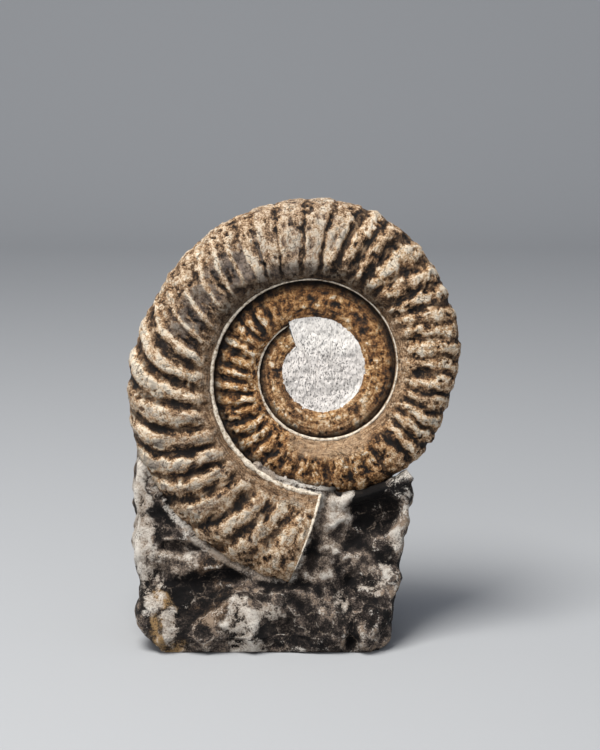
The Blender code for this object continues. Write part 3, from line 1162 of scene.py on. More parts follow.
@dataclass
class Shell:
    """The ribbed shell: strips of spiral surface, sewn along the seam and closed at both ends."""

    shape: CoilShape
    finish: CoilPatina = field(default_factory=CoilPatina)
    steps_per_rib: int = 14
    front_columns: int = 34
    back_columns: int = 20
    venter_columns: int = 24
    wall_columns: int = 6
    cap_rings: int = 9
    crest_height: float = 0.0085
    groove_depth: float = 0.0230
    lump_height: float = 2.6 * MM
    chip_depth: float = 0.9 * MM
    grit_height: float = 0.9 * MM
    drawn_height: float = 1.5 * MM
    # Noise: over the coil, along its ribs, and for ragged ribs and gaps in them
    lumps: Cloud = Cloud(0.15)
    chips: Cloud = Cloud(0.42, 2.0, 0.6)
    chip_ends: Pair = (0.56, 0.70)
    grit: Cloud = Cloud(0.95, 2.0, 0.6)
    drawn: Cloud = Cloud(1.0, 3.0, 0.6)
    rags: Cloud = Cloud(0.28, 3.0, 0.6)
    gaps: Cloud = Cloud(0.11)
    gap_ends: Pair = (0.30, 0.48)
    # How far ribs swing at the left of the last whorl, and how much the width of one rib varies
    left_swing: float = 0.10
    crest_play: float = 0.40
    # How gently a rib's side falls, for a narrow crest and for a broad one
    slopes: Pair = (0.36, 0.13)
    # The fine lumps lose this share between these turns back from the mouth
    calm_share: float = 0.65
    calm_turns: Pair = (1.25, 1.45)
    # How lumpy the broken ends are
    cap_height: float = 0.5 * MM
    cap_lump: float = 3.0 * MM
    seed: int = 4
    seed_step: float = 40.0

    # How strong the ribs are, by degrees back from the mouth
    strength: Track = (
        (0.0, 0.45), (20.0, 0.65), (45.0, 0.90), (100.0, 0.90), (118.0, 0.85), (140.0, 0.72),
        (154.0, 0.55), (174.0, 0.55), (184.0, 0.75), (200.0, 0.85), (225.0, 0.75), (245.0, 0.60),
        (280.0, 0.60), (295.0, 0.95), (312.0, 0.85), (328.0, 0.42), (364.0, 0.42), (380.0, 0.75),
        (396.0, 1.0), (482.0, 1.0), (502.0, 0.50), (525.0, 0.16), (700.0, 0.12), (860.0, 0.16),
    )
    # How far the ribs lean back from the radial direction, in degrees
    leaning: Track = (
        (0.0, 14.0), (30.0, 22.0), (60.0, 20.0), (85.0, 21.0), (110.0, 25.0), (130.0, 22.0),
        (155.0, 10.0), (195.0, 11.0), (215.0, 16.0), (250.0, 12.0), (270.0, 10.0), (285.0, 3.0),
        (310.0, 4.0), (340.0, 6.0), (375.0, 13.0), (860.0, 14.0),
    )
    # How much of the pitch a rib's crest takes
    crest: Track = (
        (0.0, 0.42), (25.0, 0.46), (48.0, 0.56), (62.0, 0.52), (85.0, 0.48), (98.0, 0.38),
        (108.0, 0.16), (140.0, 0.16), (152.0, 0.82), (176.0, 0.82), (184.0, 0.50), (215.0, 0.48),
        (250.0, 0.56), (285.0, 0.52), (315.0, 0.52), (340.0, 0.62), (375.0, 0.54), (500.0, 0.50),
        (860.0, 0.50),
    )
    # How far the ribs wander and how ragged they are, in pitches
    raggedness: Track = (
        (0.0, 0.50), (30.0, 0.42), (60.0, 0.26), (105.0, 0.24), (130.0, 0.50), (180.0, 0.55),
        (200.0, 0.75), (300.0, 0.70), (350.0, 0.55), (400.0, 0.36), (480.0, 0.34), (520.0, 0.60),
        (860.0, 0.60),
    )
    # Where the ribs start, as a share of the way from the seam to the outer edge
    rib_start: Track = (
        (0.0, 0.07), (305.0, 0.07), (330.0, 0.22), (374.0, 0.24), (398.0, 0.10), (480.0, 0.10),
        (860.0, 0.10),
    )
    # How much of their strength the ribs keep at the outer edge
    reach: Track = (
        (0.0, 0.6), (25.0, 0.8), (45.0, 1.0), (90.0, 1.0), (103.0, 0.75), (116.0, 0.55),
        (150.0, 0.60), (176.0, 0.75), (188.0, 1.0), (860.0, 1.0),
    )

    def read(self, graph: Graph, back: Wire, points: Track, top: float) -> Wire:
        """A number that goes along the coil, from points of (degrees back, value).

        Args:
            graph: The tree's graph.
            back: The angle back from the mouth.
            points: The points.
            top: The highest value that the points may have.

        Returns:
            The number.
        """
        whole = self.shape.degrees + 5.0
        shares = [(degrees / whole, value / top) for degrees, value in points]
        return graph.curve(back * (math.degrees(1.0) / whole), shares) * top

    def ribs(
        self, strip: GrowthTree, angle: Wire, rho: Wire, across: Wire, spot: Wire
    ) -> tuple[Wire, Wire, Wire]:
        """The rib profile, 0 in a groove and 1 on a crest, how strong the ribs are, and their count.

        Args:
            strip: The strip's tree.
            angle: The angle from the mouth.
            rho: The share of the outer radius.
            across: The share of the way from the seam to the outer edge.
            spot: The place that noise is read at, in millimetres.

        Returns:
            The profile, the strength and the count.
        """
        graph, seed = strip.graph, strip["Seed"]
        back = angle * -1.0
        lean_degrees = self.read(graph, back, self.leaning, 45.0)
        extra = graph.math("TANGENT", lean_degrees * math.radians(1.0)) - self.shape.lean
        outward = graph.math("LOGARITHM", rho / self.shape.seam, math.e)
        left_side = back.smooth(0.3, 0.9) * back.smooth(2.6, 1.9)
        swing = (((across - 0.55) / 0.45).clamp() ** 2.0) * left_side * self.left_swing
        phase = (angle + extra * outward + swing) * (self.shape.ribs / self.shape.turn)
        wander = graph.noise(graph.join(phase * 0.31, across * 0.8, seed), 1.0, 2.0) - 0.5
        ragged = self.rags.over(graph, spot) - 0.5
        phase = phase + (wander * 2.0 + ragged) * self.read(graph, back, self.raggedness, 1.0)
        to_crest = abs(graph.math("FRACT", phase) - 0.5) * 2.0
        own = graph.noise(graph.join(graph.math("FLOOR", phase) * 3.7, across * 2.2, seed), 1.0, 1.0)
        crest = self.read(graph, back, self.crest, 1.0)
        slope = graph.between(crest.smooth(0.60, 0.80), *self.slopes)
        profile = (crest + own.swing(self.crest_play) - to_crest).smooth(slope * -1.0, slope)
        start = self.read(graph, back, self.rib_start, 1.0)
        rise = (across - start).smooth(0.0, 0.19 + start) * graph.between(
            across.smooth(0.45, 0.85), 1.0, self.read(graph, back, self.reach, 1.0))
        strength = self.read(graph, back, self.strength, 1.0)
        gaps = self.gaps.over(graph, spot).smooth(*self.gap_ends) * 0.50 + 0.50
        return profile, (strength * rise * (0.35 + own * 1.3) * gaps).clamp(), phase

    def strip_tree(self, material: bpy.types.Material) -> GrowthTree:
        """The tree of one strip: a grid laid along the coil and across its section.

        Args:
            material: The shell's material.

        Returns:
            The tree.
        """
        shape = self.shape
        names = ("First Angle", "Last Angle", "First Section", "Last Section", "Mouth Radius",
                 "Crest Height", "Groove Depth", "Lump Height", "Chip Depth", "Grit Height", "Drawn Height")
        counts = {"Steps": 1, "Columns": 1, "Seed": self.seed}
        strip = GrowthTree("coil_strip", material, {**counts, **dict.fromkeys(names, 0.0)})
        graph = strip.graph
        grid = graph.out("GeometryNodeMeshGrid", {}, {
            "Size X": 1.0, "Size Y": 1.0,
            "Vertices X": strip["Steps"] + 1, "Vertices Y": strip["Columns"] + 1})
        along, over, _ = graph.split(graph.out("GeometryNodeInputPosition", {}, {}))
        angle = graph.between(along + 0.5, strip["First Angle"], strip["Last Angle"])
        section = graph.between(over + 0.5, strip["First Section"], strip["Last Section"])

        rho, width = shape.outline(graph, section)
        across = ((rho - shape.seam) / (1.0 - shape.seam)).clamp()
        radius = strip["Mouth Radius"] * graph.math("EXPONENT", angle * shape.growth)

        outermost = angle.smooth(-shape.turn, -shape.turn + 0.12)
        open_edge = graph.math("MAXIMUM", outermost, (shape.seam * shape.ratio - rho).smooth(0.0, 0.035))
        hold = across.smooth(0.0, 0.05) * open_edge

        spot = graph.scaled(shape.place(graph, angle, rho, width, radius), 1.0 / MM)
        spot = graph.vector("ADD", spot, graph.join(0.0, strip["Seed"] * self.seed_step, 0.0))
        profile, strength, count = self.ribs(strip, angle, rho, across, spot)
        drawn = self.drawn.over(graph, graph.join(count * 2.2, across * 2.4, angle))
        drawn = drawn.swing(0.15 + strength) * strip["Drawn Height"]
        lumps = self.lumps.over(graph, spot).swing(strip["Lump Height"])
        chips = self.chips.over(graph, spot).smooth(*self.chip_ends) * strip["Chip Depth"]
        grit = self.grit.over(graph, spot).swing(strip["Grit Height"])
        calm_ends = (-turns * shape.turn for turns in self.calm_turns)
        calm = 1.0 - angle.smooth(*calm_ends) * self.calm_share
        swell = strip["Crest Height"] + strip["Groove Depth"]
        relief = strength * (profile * swell - strip["Groove Depth"]) * (1.0 - 0.50 * across ** 5.0)
        relief = (relief + (lumps + grit + drawn - chips) * calm / radius) * hold

        pushed = self.pushed(graph, angle, rho)
        outward = rho + relief * graph.math("COSINE", section) + pushed
        sideways = width + relief * graph.math("SINE", section)
        place = shape.place(graph, angle, outward, sideways, radius)
        stored = {"rib": profile, "ribbing": strength, "across": across, "back": angle / -(2.0 * math.pi),
                  "count": count}
        geometry = grid
        for name, value in stored.items():
            geometry = graph.store(geometry, name, value, "CORNER")
        strip.finish(graph.out("GeometryNodeSetPosition", {}, {"Geometry": geometry, "Position": place}))
        return strip

    def pushed(self, graph: Graph, angle: Wire, rho: Wire) -> Wire:
        """How far pressure in the rock has moved the last whorl's outer edge.

        Args:
            graph: The tree's graph.
            angle: The angle from the mouth.
            rho: The share of the outer radius.

        Returns:
            The move, as a share of the outer radius.
        """
        back = angle * -math.degrees(1.0)
        total = 0.0
        for middle, extent, share in self.shape.pushed:
            total = total + graph.math("EXPONENT", ((back - middle) / extent) ** 2.0 * -1.0) * share
        outward = ((rho - self.shape.section_centre) / (1.0 - self.shape.section_centre)).clamp()
        return total * outward * graph.math("GREATER_THAN", angle, -self.shape.turn)

    def coil_tree(self, material: bpy.types.Material) -> GrowthTree:
        """The tree of the whole coil: four strips, sewn together.

        Args:
            material: The shell's material.

        Returns:
            The tree.
        """
        shape = self.shape
        inner, outer = shape.section_angle(shape.seam), shape.section_angle(shape.seam * shape.ratio)
        first, turn = shape.first_angle, shape.turn
        per_turn = shape.ribs * self.steps_per_rib
        steps = round(-first / turn * per_turn)
        sizes = {"Mouth Radius": shape.mouth_radius, "Crest Height": self.crest_height,
                 "Groove Depth": self.groove_depth, "Lump Height": self.lump_height,
                 "Chip Depth": self.chip_depth, "Grit Height": self.grit_height,
                 "Drawn Height": self.drawn_height, "Seed": self.seed}
        coil = GrowthTree("ribbed_coil", material, {**sizes, "Sewing Distance": 0.01 * MM})
        strips = (
            (steps, self.front_columns, first, 0.0, inner, outer),
            (steps, self.back_columns, first, 0.0, -inner, -outer),
            (per_turn, self.venter_columns, -turn, 0.0, outer, -outer),
            (per_turn, self.wall_columns, first, first + turn, inner, 2.0 * math.pi - inner),
        )
        strip_tree = self.strip_tree(material)
        titles = ("Steps", "Columns", "First Angle", "Last Angle", "First Section", "Last Section")
        joined = coil.graph.node("GeometryNodeJoinGeometry", {}, {})
        for strip in strips:
            sockets = {**dict(zip(titles, strip)), **{name: coil[name] for name in (*sizes, "Material")}}
            made = coil.graph.out("GeometryNodeGroup", {"node_tree": strip_tree.tree}, sockets)
            coil.graph.feed(joined.inputs[0], made)
        whole = Wire(coil.graph, joined.outputs[0])
        sewn = coil.graph.out(
            "GeometryNodeMergeByDistance", {}, {"Geometry": whole, "Distance": coil["Sewing Distance"]})
        coil.finish(sewn)
        return coil

    def close_ends(self, bm: bmesh.types.BMesh) -> None:
        """Closes the mouth and the inner end with rough faces, as rings towards their middles.

        Args:
            bm: The open shell.
        """
        noise.seed_set(self.seed)
        edges = {edge for edge in bm.edges if edge.is_boundary}
        while edges:
            loop = self.walk_loop(edges)
            middle = sum((vert.co for vert in loop), Vector()) / len(loop)
            ring = loop
            for step in range(1, self.cap_rings):
                share = 1.0 - step / self.cap_rings
                spots = [middle + (vert.co - middle) * share for vert in loop]
                inward = [bm.verts.new(self.rough(spot, step)) for spot in spots]
                for n, vert in enumerate(ring):
                    after = (n + 1) % len(ring)
                    bm.faces.new((vert, ring[after], inward[after], inward[n]))
                ring = inward
            centre = bm.verts.new(middle)
            for n, vert in enumerate(ring):
                bm.faces.new((vert, ring[(n + 1) % len(ring)], centre))

    def rough(self, point: Vector, ring: int) -> Vector:
        """A point moved a little, less so next to the rim."""
        return point + noise.noise_vector(point / self.cap_lump) * self.cap_height * min(1.0, ring / 3.0)

    @staticmethod
    def walk_loop(edges: set[bmesh.types.BMEdge]) -> list[bmesh.types.BMVert]:
        """Takes one closed loop of vertices, in order, out of a set of edges.

        Args:
            edges: The edges, which the loop is taken out of.

        Returns:
            The loop's vertices.
        """
        edge = min(edges, key=lambda one: one.index)
        edges.discard(edge)
        loop = [edge.verts[0], edge.verts[1]]
        while True:
            onward = [link for link in loop[-1].link_edges if link in edges]
            if not onward:
                return loop[:-1] if loop[-1] is loop[0] else loop
            edges.discard(onward[0])
            loop.append(onward[0].other_vert(loop[-1]))

    def mesh(self, material: bpy.types.Material) -> bpy.types.Mesh:
        """The closed shell in its place.

        Args:
            material: The shell's material.

        Returns:
            The mesh.
        """
        mesh = self.coil_tree(material).grow("ribbed_coil")
        bm = bmesh.new()
        bm.from_mesh(mesh)
        self.close_ends(bm)
        settle(bm, mesh, self.shape.placing())
        return EdgeWear().mark(mesh, material)

    def build(self) -> bpy.types.Object:
        """Builds the shell piece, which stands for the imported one.

        Returns:
            The piece's object.
        """
        material = self.finish.make()
        shell = piece("ribbed_coil", self.mesh(material), material)
        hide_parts("ammonite_shell")
        return shell


@dataclass(frozen=True)
class EdgeWear:
    """Marks how far each point stands out of its surroundings."""

    blur_steps: int = 12
    full_height: float = 0.25 * MM

    def mark(self, mesh: bpy.types.Mesh, material: bpy.types.Material) -> bpy.types.Mesh:
        """Stores the number "edge": over 0 on ridges, under 0 in hollows, within -1 and 1.

        Args:
            mesh: The mesh.
            material: Its material.

        Returns:
            A marked copy of the mesh.
        """
        sizes = {"Blur Steps": self.blur_steps, "Full Height": self.full_height}
        tree = GrowthTree("edge_wear", material, sizes)
        graph = tree.graph
        place = graph.out("GeometryNodeInputPosition", {}, {})
        normal = graph.out("GeometryNodeInputNormal", {}, {})
        blurred = graph.out("GeometryNodeBlurAttribute", {"data_type": "FLOAT_VECTOR"},
                            {"Value": place, "Iterations": tree["Blur Steps"]})
        above = graph.measure("DOT_PRODUCT", graph.vector("SUBTRACT", place, blurred), normal)
        edge = (above / tree["Full Height"]).clamp(-1.0, 1.0)
        tree.finish(graph.store(tree["Geometry"], "edge", edge, "POINT"))
        return tree.grow("edge_wear", mesh)


class RidgePath(Enum):
    """The lines that a ridge of rock follows, each with its piece's name."""

    FRONT_SEAM = "seam_ridge_front"
    BACK_SEAM = "seam_ridge_back"
    MOUTH = "mouth_ridge"


@dataclass
class SeamRidge:
    """The thin pale ridges of rock along the seam, front and back, and along the mouth."""

    shape: CoilShape
    finish: SeamLimestone = field(default_factory=SeamLimestone)
    points_per_turn: int = 420
    sides: int = 8
    thickness: float = 0.0092
    stand_out: float = 0.0035
    inset: float = 0.012
    heavy_degrees: float = 235.0
    mouth_turns: float = 0.2
    mouth_share: float = 0.55
    mouth_end: float = 1.05
    mouth_wander: float = 0.012
    # Where a ridge starts to thin towards its end, as a share of its length
    seam_thinning: float = 0.99
    mouth_thinning: float = 0.35
    # How fine a ridge's wandering and its lumps are, along each turn
    waves: float = 30.0
    swells: float = 66.0
    ripple: Cloud = Cloud(1.0, 3.0, 0.6)
    seed: int = 1

    def seam_line(self, tree: GrowthTree, share: Wire, wave: Wire) -> tuple[Wire, Wire, Wire]:
        """The seam's line: its angle, its share of the outer radius and its distance from the middle.

        Args:
            tree: The ridge's tree.
            share: The share of the way along the line.
            wave: Noise along the line.

        Returns:
            The angle, the share and the distance.
        """
        shape, graph = self.shape, tree.graph
        angle = graph.between(share, shape.first_angle + shape.turn, 0.0)
        rho = shape.seam + self.inset * (0.75 + 0.5 * wave)
        width = shape.width_at(shape.seam + self.inset) + self.stand_out * wave
        return angle, rho, width * tree["Side"]

    def mouth_line(self, tree: GrowthTree, share: Wire, wave: Wire) -> tuple[Wire, Wire, Wire]:
        """The mouth's front edge: its angle, its share of the outer radius and its half width.

        Args:
            tree: The ridge's tree.
            share: The share of the way along the line.
            wave: Noise along the line.

        Returns:
            The angle, the share and the half width.
        """
        shape, graph = self.shape, tree.graph
        angle = (wave - 0.5) * self.mouth_wander
        section = graph.between(share, shape.section_angle(shape.seam + self.inset), self.mouth_end)
        return angle, *shape.outline(graph, section)

    def tree(self, path: RidgePath, material: bpy.types.Material) -> GrowthTree:
        """The tree of one ridge: a line of points on the coil, given a round section.

        Args:
            path: The line that the ridge follows.
            material: The ridge's material.

        Returns:
            The tree.
        """
        shape = self.shape
        along_mouth = path is RidgePath.MOUTH
        turns = self.mouth_turns if along_mouth else (-shape.first_angle - shape.turn) / shape.turn
        side = -1.0 if path is RidgePath.BACK_SEAM else 1.0
        tree = GrowthTree("rock_ridge", material, {
            "Points": round(turns * self.points_per_turn), "Sides": self.sides, "Side": side,
            "Mouth Radius": shape.mouth_radius, "Seed": self.seed,
            "Thickness": self.thickness * (self.mouth_share if along_mouth else 1.0)})
        graph = tree.graph
        line = graph.out("GeometryNodeMeshLine", {"mode": "OFFSET"}, {"Count": tree["Points"]})
        share = graph.out("GeometryNodeInputIndex", {}, {}) / (tree["Points"] - 1)
        wave = self.ripple.over(graph, graph.join(share * turns * self.waves, side * 3.0, tree["Seed"]))
        follow = self.mouth_line if along_mouth else self.seam_line
        angle, rho, width = follow(tree, share, wave)
        radius = tree["Mouth Radius"] * graph.math("EXPONENT", angle * shape.growth)
        place = shape.place(graph, angle, rho, width, radius)
        line = graph.out("GeometryNodeSetPosition", {}, {"Geometry": line, "Position": place})
        curve = graph.out("GeometryNodeMeshToCurve", {}, {0: line})
        thinning = self.mouth_thinning if along_mouth else self.seam_thinning
        taper = share.smooth(0.0, 0.01) * share.smooth(1.0, thinning) * 0.8 + 0.2
        lumps = self.ripple.over(graph, graph.join(share * turns * self.swells, side, tree["Seed"]))
        lumpy = 0.15 + 1.7 * lumps
        off_heaviest = shape.turned(graph, angle, rho) - math.radians(self.heavy_degrees)
        heavier = 1.05 + 0.50 * graph.math("COSINE", off_heaviest)
        ring = graph.out(
            "GeometryNodeCurvePrimitiveCircle", {}, {"Resolution": tree["Sides"], "Radius": 1.0})
        tree.finish(graph.out("GeometryNodeCurveToMesh", {}, {
            "Curve": curve, "Profile Curve": ring, "Fill Caps": True,
            "Scale": radius * tree["Thickness"] * taper * lumpy * heavier}))
        return tree

    def build(self) -> list[bpy.types.Object]:
        """Builds the ridges.

        Returns:
            The pieces' objects.
        """
        material = self.finish.make()
        made = []
        for path in RidgePath:
            mesh = self.tree(path, material).grow(path.value)
            bm = bmesh.new()
            bm.from_mesh(mesh)
            settle(bm, mesh, self.shape.placing())
            made.append(piece(path.value, mesh, material))
        return made


@dataclass
class UmbilicusMatrix:
    """The rock left in the open middle of the coil, dished and pricked by a tool."""

    shape: CoilShape
    finish: TooledLimestone = field(default_factory=TooledLimestone)
    middle_depth: float = 3.3 * MM
    rim_share: float = 0.76
    bite: float = 0.7 * MM
    rings: int = 54
    around: int = 234
    # The pricks: how fine they are for each millimetre, and along Z as a share of that
    prick_fineness: float = 1.2
    prick_squeeze: float = 0.42
    prick_ends: Pair = (0.02, 0.30)
    prick_depth: float = 0.35 * MM
    lump_size: float = 5.0 * MM
    lump_height: float = 0.5 * MM
    # The pricks and lumps fade out from this share of the way to the rim
    fade_start: float = 0.88

    def wall_reach(self, angle: float, depth: float) -> float:
        """How far the coil's inner wall is from the axis at a depth from the middle.

        Args:
            angle: The angle from the mouth.
            depth: The distance from the coil's middle plane.

        Returns:
            The distance from the axis.
        """
        shape = self.shape
        radius = shape.radius(angle)
        share = min(0.98, abs(depth) / radius / shape.half_width)
        across = (1.0 - share**shape.power) ** (1.0 / shape.power)
        return radius * (shape.section_centre - (1.0 - shape.section_centre) * across)

    def rim_point(self, angle: float, side: float, share: float) -> Vector:
        """A point of a face: at a share of the way from the axis to a point of the rim.

        Args:
            angle: The angle from the mouth.
            side: -1 in front and 1 at the back.
            share: The share of the way from the axis.

        Returns:
            The point.
        """
        shape = self.shape
        rim_depth = self.rim_share * shape.half_width * shape.radius(angle)
        reach = self.wall_reach(angle, rim_depth) + self.bite
        turned = math.radians(shape.mouth_degrees) + angle
        turned -= shape.lean * math.log(reach / shape.radius(angle) / shape.seam)
        reach *= share
        point = Vector((reach * math.cos(turned), 0.0, reach * math.sin(turned)))
        depth = self.middle_depth + (rim_depth - self.middle_depth) * share * share
        point.y = side * (depth - self.tooling(point, side, share))
        return point

    def tooling(self, point: Vector, side: float, share: float) -> float:
        """How deep the tool's pricks and the rough of the rock are here.

        Args:
            point: The point.
            side: -1 in front and 1 at the back.
            share: The share of the way from the axis.

        Returns:
            The depth.
        """
        spot = Vector((point.x, side * 0.01, point.z * self.prick_squeeze)) / MM
        prick = smoothstep(*self.prick_ends, noise.noise(spot * self.prick_fineness))
        lump = noise.noise(Vector((point.x, side * 0.02, point.z)) / self.lump_size)
        fade = smoothstep(1.0, self.fade_start, share)
        return (prick * self.prick_depth + lump * self.lump_height) * fade

    def mesh(self) -> bpy.types.Mesh:
        """The closed plate in its place.

        Returns:
            The mesh.
        """
        shape = self.shape
        angles = [shape.first_angle + shape.turn * n / self.around for n in range(self.around)]
        bm = bmesh.new()
        shares = spread(1.0 / self.rings, 1.0, self.rings - 1)
        faces = [(-1.0, share) for share in shares] + [(1.0, share) for share in reversed(shares)]
        rings = [[bm.verts.new(self.rim_point(a, side, share)) for a in angles] for side, share in faces]
        for near, far in zip(rings, rings[1:]):
            for n in range(self.around):
                after = (n + 1) % self.around
                bm.faces.new((near[n], near[after], far[after], far[n]))
        for ring in (rings[0], rings[-1]):
            middle = bm.verts.new(sum((vert.co for vert in ring), Vector()) / len(ring))
            for n in range(self.around):
                bm.faces.new((ring[n], ring[(n + 1) % self.around], middle))
        mesh = bpy.data.meshes.new("umbilicus_rock")
        settle(bm, mesh, shape.placing())
        return mesh

    def build(self) -> bpy.types.Object:
        """Builds the plate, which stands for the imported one.

        Returns:
            The piece's object.
        """
        plate = piece("umbilicus_rock", self.mesh(), self.finish.make())
        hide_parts("umbilicus_matrix")
        return plate


# ---------------------------------------------------------------- the block


@dataclass(frozen=True)
class Hollow:
    """A dent in the block's front, in millimetres: its middle and reach along X and Z, and depth."""

    middle: Pair
    reach: Pair
    depth: float

    def depth_at(self, graph: Graph, spot: Wire, bend: Wire) -> Wire:
        """How deep the dent is at a spot, with a bent outline.

        Args:
            graph: The tree's graph.
            spot: The spot, in millimetres.
            bend: How far the dent's outline is bent there.

        Returns:
            The depth, in millimetres.
        """
        x, y, z = graph.split(graph.vector("ADD", spot, bend))
        u, v = (x - self.middle[0]) / self.reach[0], (z - self.middle[1]) / self.reach[1]
        return (u * u + v * v).smooth(1.3, 0.2) * y.smooth(6.0, 0.0) * self.depth


@dataclass
class MatrixBlock:
    """The broken block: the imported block's own shape, refined, faceted and fitted to the shell."""

    shell: bpy.types.Object
    finish: BrokenLimestone = field(default_factory=BrokenLimestone)
    voxel: float = 0.75 * MM
    fit_reach: float = 1.9 * MM
    fit_depth: float = 0.35 * MM
    far: float = 9.0 * MM
    foot_height: float = 2.0 * MM
    # How cells and dents are bent, and the grit on the faces, in millimetres
    bend: Sway = Sway(0.09, 2.0, 7.0)
    grit: Cloud = Cloud(0.45, 4.0, 0.65)
    grit_height: float = 1.1
    # Facets are bent by this share of the bend, and dents by this one
    facet_bend: float = 0.35
    hollow_bend: float = 0.8
    # Where relief, grit and moat fade, by the distance from the shell in millimetres
    relief_ends: Pair = (0.6, 3.5)
    grit_ends: Pair = (0.2, 1.2)
    moat_ends: Pair = (4.0, 1.5)
    facets: tuple[Pair, ...] = ((0.040, 8.5), (0.090, -4.0), (0.24, -1.3))
    scallops: tuple[Pair, ...] = ((0.065, 1.4),)
    hollows: tuple[Hollow, ...] = (
        Hollow((-24.0, 19.0), (10.0, 8.0), 3.0),
        Hollow((-28.5, 34.5), (8.0, 2.6), 3.4),
        Hollow((-13.0, 24.0), (8.0, 2.6), 3.4),
        Hollow((38.0, 46.0), (10.0, 7.0), 6.0),
        Hollow((30.0, 38.0), (8.0, 5.0), 3.0),
        Hollow((30.5, 5.0), (2.6, 6.0), 3.5),
        Hollow((12.0, 10.0), (12.0, 8.0), 2.0),
        Hollow((-8.0, 12.0), (6.5, 7.5), -1.6),
        Hollow((-41.0, 35.0), (4.0, 16.0), -1.0),
    )
    # Where the rock stands clear of the shell: over this X and Z, and between these ends in millimetres
    free_side: Pair = (24.0 * MM, 44.0 * MM)
    open_ends: tuple[Pair, Pair, Pair] = ((22.0, 28.0), (6.0, 0.0), (40.0, 46.0))
    moat: float = 4.0 * MM
    wear: EdgeWear = EdgeWear(blur_steps=6, full_height=0.5 * MM)
    blur_steps: int = 6
    seed: int = 0
    seed_step: float = 40.0

    def fine_mesh(self) -> bpy.types.Mesh:
        """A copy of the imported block, merged and remeshed in even small faces.

        Returns:
            The mesh.
        """
        bm = bmesh.new()
        bm.from_mesh(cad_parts["matrix_block"].data)
        bmesh.ops.remove_doubles(bm, verts=bm.verts, dist=0.001 * MM)
        mesh = bpy.data.meshes.new("block_core")
        bm.to_mesh(mesh)
        bm.free()
        carrier = shown("block_core", mesh)
        remesh = carrier.modifiers.new("remesh", "REMESH")
        remesh.mode = "VOXEL"
        remesh.voxel_size = self.voxel
        fine = evaluated_mesh(carrier)
        bpy.data.objects.remove(carrier)
        return fine

    def store_reach(self, mesh: bpy.types.Mesh, tree: BVHTree) -> None:
        """Stores how far each point is from the shell, in millimetres.

        Args:
            mesh: The block's mesh.
            tree: The shell's faces.
        """
        layer = mesh.attributes.new("from_shell", "FLOAT", "POINT")
        for vert, item in zip(mesh.vertices, layer.data):
            distance = tree.find_nearest(vert.co, self.far)[3]
            item.value = (self.far if distance is None else distance) / MM

    def rock_tree(self, material: bpy.types.Material) -> GrowthTree:
        """The tree that breaks a surface into facets, scallops and hollows.

        Args:
            material: The block's material.

        Returns:
            The tree.
        """
        tree = GrowthTree("broken_rock", material, {
            "Unit": MM, "Foot Height": self.foot_height, "Moat": self.moat,
            "Blur Steps": self.blur_steps, "Seed": self.seed})
        graph = tree.graph
        place = graph.out("GeometryNodeInputPosition", {}, {})
        normal = graph.out("GeometryNodeBlurAttribute", {"data_type": "FLOAT_VECTOR"}, {
            "Value": graph.out("GeometryNodeInputNormal", {}, {}), "Iterations": tree["Blur Steps"]})
        spot = graph.scaled(place, 1.0 / MM)
        loose = graph.vector("ADD", spot, graph.join(0.0, tree["Seed"] * self.seed_step, 0.0))
        bend = graph.sway(loose, self.bend)
        bent = graph.vector("ADD", loose, bend)
        nearly = graph.vector("ADD", loose, graph.scaled(bend, self.facet_bend))
        height = 0.0
        for scale, rise in self.facets:
            height = height + (0.22 - graph.cells(nearly, scale, "DISTANCE_TO_EDGE")) * rise
        for scale, rise in self.scallops:
            bowl = graph.cells(bent, scale)
            height = height + (bowl * bowl - 0.30) * rise
        for hollow in self.hollows:
            height = height - hollow.depth_at(graph, spot, graph.scaled(bend, self.hollow_bend))
        height = graph.out("GeometryNodeBlurAttribute", {"data_type": "FLOAT"}, {
            "Value": height * tree["Unit"], "Iterations": 1})
        near = graph.out("GeometryNodeInputNamedAttribute", {"data_type": "FLOAT"}, {"Name": "from_shell"})
        grit = self.grit.over(graph, loose).swing(self.grit_height) * tree["Unit"]
        height = height * near.smooth(*self.relief_ends) + grit * near.smooth(*self.grit_ends)
        height = height - near.smooth(*self.moat_ends) * self.open_side(graph, spot) * tree["Moat"]
        up = graph.split(place)[2]
        moved = graph.scaled(normal, height * (up / tree["Foot Height"]).smooth(0.0, 1.0))
        tree.finish(graph.out("GeometryNodeSetPosition", {}, {"Geometry": tree["Geometry"], "Offset": moved}))
        return tree

    def open_side(self, graph: Graph, spot: Wire) -> Wire:
        """1 under the coil's right side, where the rock stands clear of the shell."""
        x, y, z = (axis.smooth(*ends) for axis, ends in zip(graph.split(spot), self.open_ends))
        return x * y * z

    def fit(self, mesh: bpy.types.Mesh, tree: BVHTree) -> None:
        """Closes the gap round the shell, but for the upper right, and keeps the foot flat.

        Args:
            mesh: The block's mesh.
            tree: The shell's faces.
        """
        facing = [vert.normal.copy() for vert in mesh.vertices]
        free_x, free_z = self.free_side
        for vert, normal in zip(mesh.vertices, facing):
            nearest, outward, _, _ = tree.find_nearest(vert.co, self.fit_reach)
            held = vert.co.x < free_x or vert.co.z < free_z
            if nearest is not None and held and (nearest - vert.co).dot(normal) > 0.0:
                vert.co = nearest - outward * self.fit_depth
            vert.co.z = max(0.0, vert.co.z)

    def build(self) -> bpy.types.Object:
        """Builds the block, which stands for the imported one.

        Returns:
            The piece's object.
        """
        material = self.finish.make()
        tree = BVHTree.FromObject(self.shell, bpy.context.evaluated_depsgraph_get())
        mesh = self.fine_mesh()
        self.store_reach(mesh, tree)
        mesh = self.rock_tree(material).grow("broken_rock", mesh)
        self.fit(mesh, tree)
        mesh.shade_smooth()
        mesh = self.wear.mark(mesh, material)
        block = piece("broken_block", mesh, material)
        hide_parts("matrix_block")
        return block


# ---------------------------------------------------------------- the studio


